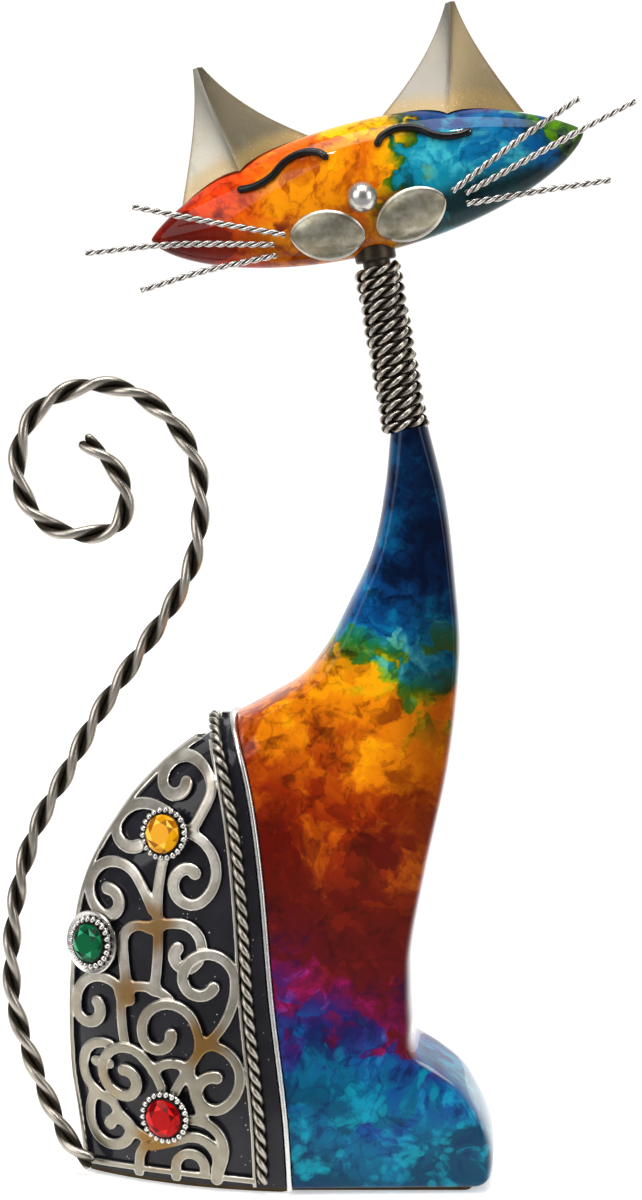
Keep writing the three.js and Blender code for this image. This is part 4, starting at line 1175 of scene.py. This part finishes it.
def rope_trim(finish):
    """Rope up the near side, over the crest and down the far side."""
    heights = [FLOOR_GAP + 0.0018]
    while heights[-1] < ROPE_TURN_HEIGHT:
        heights.append(heights[-1] + (0.017 if heights[-1] < 0.11 else 0.005))
    heights.pop()
    near = [(rope_x(z), -haunch_depth(rope_x(z) + ROPE_RADIUS, z) - 0.0002, z) for z in heights]
    near.append((rope_x(0.138), -0.0075, 0.1388))
    far = [(x, -y, z) for x, y, z in reversed(near)]
    top = (rope_x(0.14), 0, ROPE_CREST_HEIGHT)
    line = smooth_line(near + [top] + far, 0.0005)
    strands = twisted_wires(line, ROPE_STRAND_RADIUS, ROPE_HALF_PITCH, 10, ROPE_STRAND_OFFSET)
    make_piece("twisted_rope", finish=finish, node="rope_trim", slot="dark_nickel", **strands)


def tail(finish):
    """Tail that rises from the near side of the foot and curls at its end."""
    line = smooth_line(TAIL_FOOT + [(x, 0, z) for x, z in TAIL_ROUTE], 0.0007)
    strands = twisted_wires(line, TAIL_STRAND_RADIUS, TAIL_HALF_PITCH, 16)
    make_piece("twisted_tail", finish=finish, node="tail", slot="dark_nickel", **strands)


# Jewels

def seat_frame(x, z):
    """Turns points with their z outward into place on the near side of the haunch."""
    step = 0.002
    slope_x = (haunch_depth(x + step, z) - haunch_depth(x - step, z)) / (2 * step)
    slope_z = (haunch_depth(x, z + step) - haunch_depth(x, z - step)) / (2 * step)
    normal = Vector((-float(slope_x), -1, -float(slope_z))).normalized()
    seat = Vector((x, -haunch_depth(x, z), z)) + normal * JEWEL_LIFT
    turn = Vector((0, 0, 1)).rotation_difference(normal)

    def placed(points):
        return np.array([turn @ Vector(p) + seat for p in points])

    return placed


def beads():
    """Ring of small beads, longer along the radius than across it."""
    parts = []
    points, faces = lathe([(math.sin(a), math.cos(a)) for a in np.linspace(0.15, 3.0, 8)], 12)
    x, y, z = (points * BEAD_SIZE).T + np.array([[BEAD_RING_RADIUS], [0], [BEAD_HEIGHT]])
    for turn in 2 * math.pi * np.arange(BEAD_COUNT) / BEAD_COUNT:
        cos, sin = math.cos(turn), math.sin(turn)
        parts.append((np.stack([x * cos - y * sin, x * sin + y * cos, z], axis=1), faces))
    return joined(parts)


def jewel(name, finish, metal):
    """Faceted stone in a cup with a ring of beads round it."""
    placed = seat_frame(*JEWELS[name])
    cup = lathe(CUP_PROFILE, 64)
    ring = beads()
    parts = [cup, ring]
    if name in BACKING_RADIUS:
        out = BACKING_RADIUS[name]
        parts.append(lathe([(0.0004, 0), (out - 0.0002, 0), (out, 0.0002), (out, 0.0006),
                            (out - 0.0003, 0.0009), (out - 0.0007, 0.0007), (0.0004, 0.0006)], 72))
    points, faces = joined(parts)
    bead_points = slice(len(cup[0]), len(cup[0]) + len(ring[0]))
    crown = np.full(len(points), -0.35)
    crown[bead_points] = (points[bead_points, 2] - 0.0010) / 0.0010
    crown[:len(cup[0])][np.hypot(cup[0][:, 0], cup[0][:, 1]) > CUP_RIM_RADIUS] = 0.5
    crown[len(cup[0]) + len(ring[0]):] = 0.6
    make_piece(f"{name}_beaded_setting", placed(points), faces, metal,
               f"{name}_jewel_setting", "bright_silver", sharp=35, marks={"crown": crown})
    gem = bmesh.new()
    for radius, height, count, turned in STONE_RINGS:
        for i in range(count):
            turn = 2 * math.pi * (i + turned) / count
            gem.verts.new((radius * math.cos(turn), radius * math.sin(turn), height))
    hull = bmesh.ops.convex_hull(gem, input=gem.verts)
    bmesh.ops.delete(gem, geom=[v for v in hull["geom_interior"]], context="VERTS")
    bmesh.ops.dissolve_limit(gem, angle_limit=math.radians(1), verts=gem.verts, edges=gem.edges)
    gem.verts.index_update()
    points = [v.co.copy() for v in gem.verts]
    faces = [tuple(v.index for v in f.verts) for f in gem.faces]
    gem.free()
    # Random tone of each facet, for the painted reflections in the stone.
    painted_light_tones = np.random.default_rng(FACET_SEED).uniform(0, 1, len(faces))
    make_piece(f"{name}_faceted_stone", placed(points), faces, finish, f"{name}_jewel",
               f"{name}_stone", sharp=1, facets=painted_light_tones)


# Neck

def neck_post(finish):
    """Rod inside the wound wire, with the collar under the head."""
    collar_foot = WRAP_START + WRAP_COILS * WRAP_PITCH
    profile = [(NEAR_AXIS, 0), (POST_RADIUS, 0), (POST_RADIUS, collar_foot),
               (COLLAR_RADIUS - 0.0004, collar_foot), (COLLAR_RADIUS, collar_foot + 0.0005),
               (COLLAR_RADIUS, COLLAR_TOP), (NEAR_AXIS, COLLAR_TOP)]
    points, faces = lathe(profile, 40)
    make_piece("neck_rod", on_neck(points), faces, finish, "neck_post", "dark_nickel", sharp=35)


def neck_wrap(finish):
    """Twisted pair wound round the rod, its lower end turned out a little."""
    pair = 2 * WRAP_STRAND_RADIUS * 0.98
    radius = WRAP_RADIUS - pair
    coils = WRAP_COILS + WRAP_OVERRUN
    turn = np.linspace(0, 2 * math.pi * coils, int(coils * 60))
    start = math.radians(-35)
    end_out = WRAP_END_OUT * np.exp(-turn / 0.35)
    climb = WRAP_PITCH * (turn - WRAP_LEVEL_TURN).clip(0) / (2 * math.pi)
    height = WRAP_START + pair - WRAP_SUNK + climb
    line = np.stack([(radius + end_out) * np.cos(turn + start),
                     (radius + end_out) * np.sin(turn + start), height], axis=1)
    strands = twisted_wires(on_neck(line), WRAP_STRAND_RADIUS, WRAP_HALF_PITCH, 10)
    make_piece("wound_wire", finish=finish, node="neck_wrap", slot="dark_nickel", **strands)


# Head

def head(finish):
    """Almond-shaped head."""
    rings = []
    for x in -HEAD_HALF_LENGTH * np.cos(np.linspace(0.012, math.pi - 0.012, 120)):
        top, bottom = head_edges(x)
        turn = 2 * math.pi * np.arange(72) / 72
        rings.append(np.stack([np.full(72, x), head_half_depth(x) * np.cos(turn),
                               (top + bottom) / 2 + (top - bottom) / 2 * np.sin(turn)], axis=1))
    points, faces = loft(rings)
    make_piece("enamelled_head", on_head(points), faces, finish, "head", "enamel", sharp=60)


def ear(word, finish):
    """Folded sheet with two hollow flanges that meet at a crease towards the face."""
    side, inner_foot, outer_foot, crease_foot, (apex_x, apex_z) = EARS[word]
    rows, columns = 36, 40

    def outward(start, end, sag, t):
        return start + (end - start) * t + sag * t * (1 - t)

    rings, across, upward = [], [], []
    for t in np.linspace(0, 1, rows + 1):
        s = np.linspace(-1, 1, columns + 1)
        inner = outward(inner_foot, apex_x - EAR_TIP_HALF_WIDTH, EAR_EDGE_SAG, t)
        outer = outward(outer_foot, apex_x + EAR_TIP_HALF_WIDTH, -EAR_EDGE_SAG, t)
        crease = outward(crease_foot, apex_x, EAR_CREASE_SAG, t)
        x = np.where(s < 0, crease + (inner - crease) * -s, crease + (outer - crease) * s)
        y = (EAR_CREASE_Y + EAR_FOLD_DEPTH * np.abs(s) ** 0.8) * (1 - 0.8 * t)
        foot = np.maximum(head_top_z(x, y - SHEET / 2), head_top_z(x, y + SHEET / 2)) + 0.0001
        z = foot + (apex_z - foot) * t
        x = x * side + FACE_X / 2
        front = np.stack([x, y - SHEET / 2, z], axis=1)
        back = np.stack([x, y + SHEET / 2, z], axis=1)[::-1]
        rings.append(np.vstack([front, back]))
        across.append(np.concatenate([s, s[::-1]]) * side)
        upward.append(np.full(2 * len(s), t))
    points, faces = loft(rings)
    make_piece(f"{word}_folded_ear", on_head(points), faces, finish, f"{word}_ear",
               "champagne_metal", sharp=50,
               marks={"across": np.concatenate(across), "upward": np.concatenate(upward)})


def brow(word, finish):
    """Raised line of a closed eye."""
    side = EARS[word][0]
    places = [(FACE_X + side * x, z) for x, z in BROW_LINE]
    line = smooth_line([(x, head_surface_y(x, z) - BROW_SUNK, z) for x, z in places], BROW_STEP)
    points, faces, _ = wire(line, BROW_RADIUS, 14)
    make_piece(f"{word}_raised_brow", on_head(points), faces, finish, f"{word}_brow",
               "black_lacquer")


def nose(finish):
    """Ball that is let into the face."""
    profile = [(NOSE_RADIUS * math.sin(a), NOSE_RADIUS * math.cos(a))
               for a in np.linspace(0.02, math.pi - 0.02, 28)]
    points, faces = lathe(profile, 48)
    y = head_surface_y(FACE_X, NOSE_Z) - NOSE_OUT
    points = points[:, [0, 2, 1]] + np.array([FACE_X, y, NOSE_Z])
    make_piece("pearl_nose", on_head(points), faces, finish, "nose", "bright_silver")


def muzzle_plate(word, finish):
    """Domed oval plate with a fine raised rim."""
    side = EARS[word][0]
    tilt = PLATE_TILT * side
    centre_x, centre_z = FACE_X + side * PLATE_PLACE[0], PLATE_PLACE[1]
    rings, edge = [], []
    for s in -0.985 * np.cos(np.linspace(0, math.pi, 60)):
        t = np.linspace(-1, 1, 33)
        half = PLATE_HALF_WIDTH * (1 - s * s) ** 0.6
        a, b = s * PLATE_HALF_LENGTH, t * half
        x = centre_x + a * math.cos(tilt) - b * math.sin(tilt)
        z = centre_z + a * math.sin(tilt) + b * math.cos(tilt)
        skin = np.minimum(head_surface_y(x, z), -0.006)
        inside = (1 - np.abs(t)) * half * 0.9
        rim = PLATE_RIM * np.exp(-((inside - 0.0006) / 0.00035) ** 2)
        dome = PLATE_DOME * (1 - t * t) * (1 - s * s)
        front = np.stack([x, skin - PLATE_PROUD - FIT_GAP - dome - rim, z], axis=1)
        back = np.stack([x, skin - PLATE_BACK_GAP, z], axis=1)[::-1]
        rings.append(np.vstack([front, back]))
        edge.append(np.concatenate([inside, inside[::-1]]))
    points, faces = loft(rings)
    make_piece(f"{word}_domed_plate", on_head(points), faces, finish, f"{word}_muzzle_plate",
               "champagne_metal", marks={"edge": np.concatenate(edge)})


def whisker(name, finish):
    """Two thin wires twisted together."""
    side, root, middle, tip = WHISKERS[name]
    root_y = head_surface_y(side * root[0] + FACE_X, root[1]) - WHISKER_RADIUS - WHISKER_ROOT_GAP
    line = smooth_line([(FACE_X + side * x, root_y + reach, z)
                        for (x, z), reach in zip((root, middle, tip), WHISKER_REACH)], 0.0004)
    strands = twisted_wires(line, WHISKER_STRAND_RADIUS, WHISKER_HALF_PITCH, 8,
                            WHISKER_STRAND_OFFSET)
    strands["points"] = on_head(strands["points"])
    make_piece(f"{name}_twisted_whisker", finish=finish, node=f"{name}_whisker",
               slot="bright_silver", **strands)


# Stage, camera and light

def stage():
    """Pale floor, brighter behind the figure than in front of it."""
    mesh = bpy.data.meshes.new("floor")
    corners = [(x * FLOOR_HALF_SIZE, y * FLOOR_HALF_SIZE, 0)
               for x, y in ((-1, -1), (1, -1), (1, 1), (-1, 1))]
    mesh.from_pydata(corners, [], [(0, 1, 2, 3)])
    floor = bpy.data.objects.new("floor", mesh)
    bpy.context.scene.collection.objects.link(floor)
    floor.location.z = -0.0001
    shader = Shader("pale_floor")
    backward = shader.along((0, 1, 0))
    beside = shader.rise(backward, -0.17, -0.03)
    tone = shader.mix(beside, (0.34, 0.34, 0.35), (0.86, 0.86, 0.86))
    glow = shader.mix(beside, (0.0, 0.0, 0.0), (0.42, 0.42, 0.42))
    glow = shader.mix(shader.rise(backward, 0.2, 1.6), glow, (0.95, 0.95, 0.95))
    mesh.materials.append(shader.finish(base_color=tone, roughness=0.6, specular_ior_level=0.1,
                                        emission_color=glow, emission_strength=1.0))


def camera():
    sideways = math.cos(CAMERA_ELEVATION)
    away = Vector((math.sin(CAMERA_AZIMUTH) * sideways, -math.cos(CAMERA_AZIMUTH) * sideways,
                   math.sin(CAMERA_ELEVATION)))
    data = bpy.data.cameras.new("camera")
    data.lens = CAMERA_LENS_MM
    data.sensor_fit = "VERTICAL"
    data.sensor_height = CAMERA_SENSOR_MM
    made = bpy.data.objects.new("camera", data)
    made.location = CAMERA_TARGET + away * CAMERA_DISTANCE
    made.rotation_euler = (-away).to_track_quat("-Z", "Y").to_euler()
    bpy.context.scene.collection.objects.link(made)
    bpy.context.scene.camera = made


def soft_light(name, place, aim, size, power, colour=(1, 1, 1)):
    data = bpy.data.lights.new(name, "AREA")
    data.shape = "RECTANGLE"
    data.size, data.size_y = size
    data.energy = power
    data.color = colour
    made = bpy.data.objects.new(name, data)
    made.location = place
    made.rotation_euler = (Vector(aim) - Vector(place)).to_track_quat("-Z", "Y").to_euler()
    bpy.context.scene.collection.objects.link(made)


def lighting():
    soft_light("window_left", (-0.9, -0.9, 0.7), (0, 0, 0.18), (1.0, 1.1), 10)
    soft_light("window_right", (1.0, -0.6, 0.5), (0, 0, 0.16), (0.6, 1.0), 5)
    soft_light("overhead", (0.0, -0.3, 1.2), (0, 0, 0.2), (0.8, 0.5), 8)
    soft_light("back_fill", (0.3, 1.1, 0.8), (0, 0, 0.2), (0.8, 0.8), 5)
    for name, x in (("lamp_left", -0.45), ("lamp_middle", 0.12), ("lamp_right", 0.6)):
        soft_light(name, (x, -0.9, 1.5), (0, 0, 0.2), (0.06, 0.06), 1.2)
    studio()
    bpy.context.scene.view_settings.view_transform = "Standard"


def studio():
    """Surroundings that are pale behind the figure and dimmer in front of it."""
    shader = Shader("studio", bpy.data.worlds.new("studio"))
    behind = shader.rise(shader.along((0, 1, 0), shader.node("ShaderNodeTexCoord", out=0)),
                         -0.2, 0.8)
    pale = shader.mix(behind, (0.16, 0.16, 0.17), (1.06, 1.06, 1.06))
    background = shader.node("ShaderNodeBackground", None, {"Color": pale, "Strength": 1.0})
    shader.node("ShaderNodeOutputWorld", None, {"Surface": background})
    bpy.context.scene.world = shader.owner


def build():
    bright = silver()
    antique = twisted_metal("antique_nickel", (0.44, 0.40, 0.34), (0.030, 0.024, 0.017))
    openwork_metal = worn_nickel("warm_nickel", (0.66, 0.62, 0.55), (0.42, 0.38, 0.31), 0.26,
                                 SOLDER_PATCHES)
    plain_nickel = worn_nickel("plain_nickel", (0.60, 0.56, 0.48), (0.36, 0.32, 0.26), 0.28)
    black = brow_lacquer()
    plate = plate_metal()
    whisker_silver = twisted_metal("whisker_silver", (0.60, 0.57, 0.53), (0.12, 0.10, 0.08),
                                   0.26, -0.5, 0.3)
    base_plate(bronze())
    body(body_enamel())
    divider_strip(bright)
    haunch_shell(shell_lacquer())
    haunch_rim(plain_nickel)
    openwork("openwork_near", -1, openwork_metal)
    openwork("openwork_far", 1, openwork_metal)
    rope_trim(antique)
    tail(antique)
    beaded = twisted_metal("beaded_silver", (0.66, 0.64, 0.60), (0.030, 0.026, 0.022), 0.24,
                           -0.1, 0.45)
    jewel("yellow", stone("yellow_glass", (0.75, 0.33, 0.003), (0.30, 0.09, 0.001),
                          (1.0, 0.72, 0.10)), beaded)
    jewel("green", stone("green_glass", (0.002, 0.10, 0.035), (0.001, 0.02, 0.008),
                         (0.05, 0.45, 0.22)), beaded)
    jewel("red", stone("red_glass", (0.38, 0.002, 0.003), (0.12, 0.001, 0.002),
                       (0.80, 0.02, 0.02)), beaded)
    neck_post(worn_nickel("collar_bronze", (0.075, 0.06, 0.042), (0.028, 0.022, 0.015), 0.38))
    neck_wrap(antique)
    head(head_enamel())
    # Per ear: tone of the lit flange and of the shaded flange (painted light and shade), then a
    # lighter cloud tone.
    painted_light_tones = {
        "left": ((0.45, 0.42, 0.35), (0.15, 0.125, 0.08), (0.28, 0.24, 0.16)),
        "right": ((0.30, 0.28, 0.24), (0.26, 0.20, 0.11), (0.42, 0.37, 0.28)),
    }
    for word in EARS:
        ear(word, ear_metal(f"{word}_ear_tone", *painted_light_tones[word]))
        brow(word, black)
        muzzle_plate(word, plate)
    nose(pearl())
    for name in WHISKERS:
        whisker(name, whisker_silver)


camera()
stage()
lighting()
build()
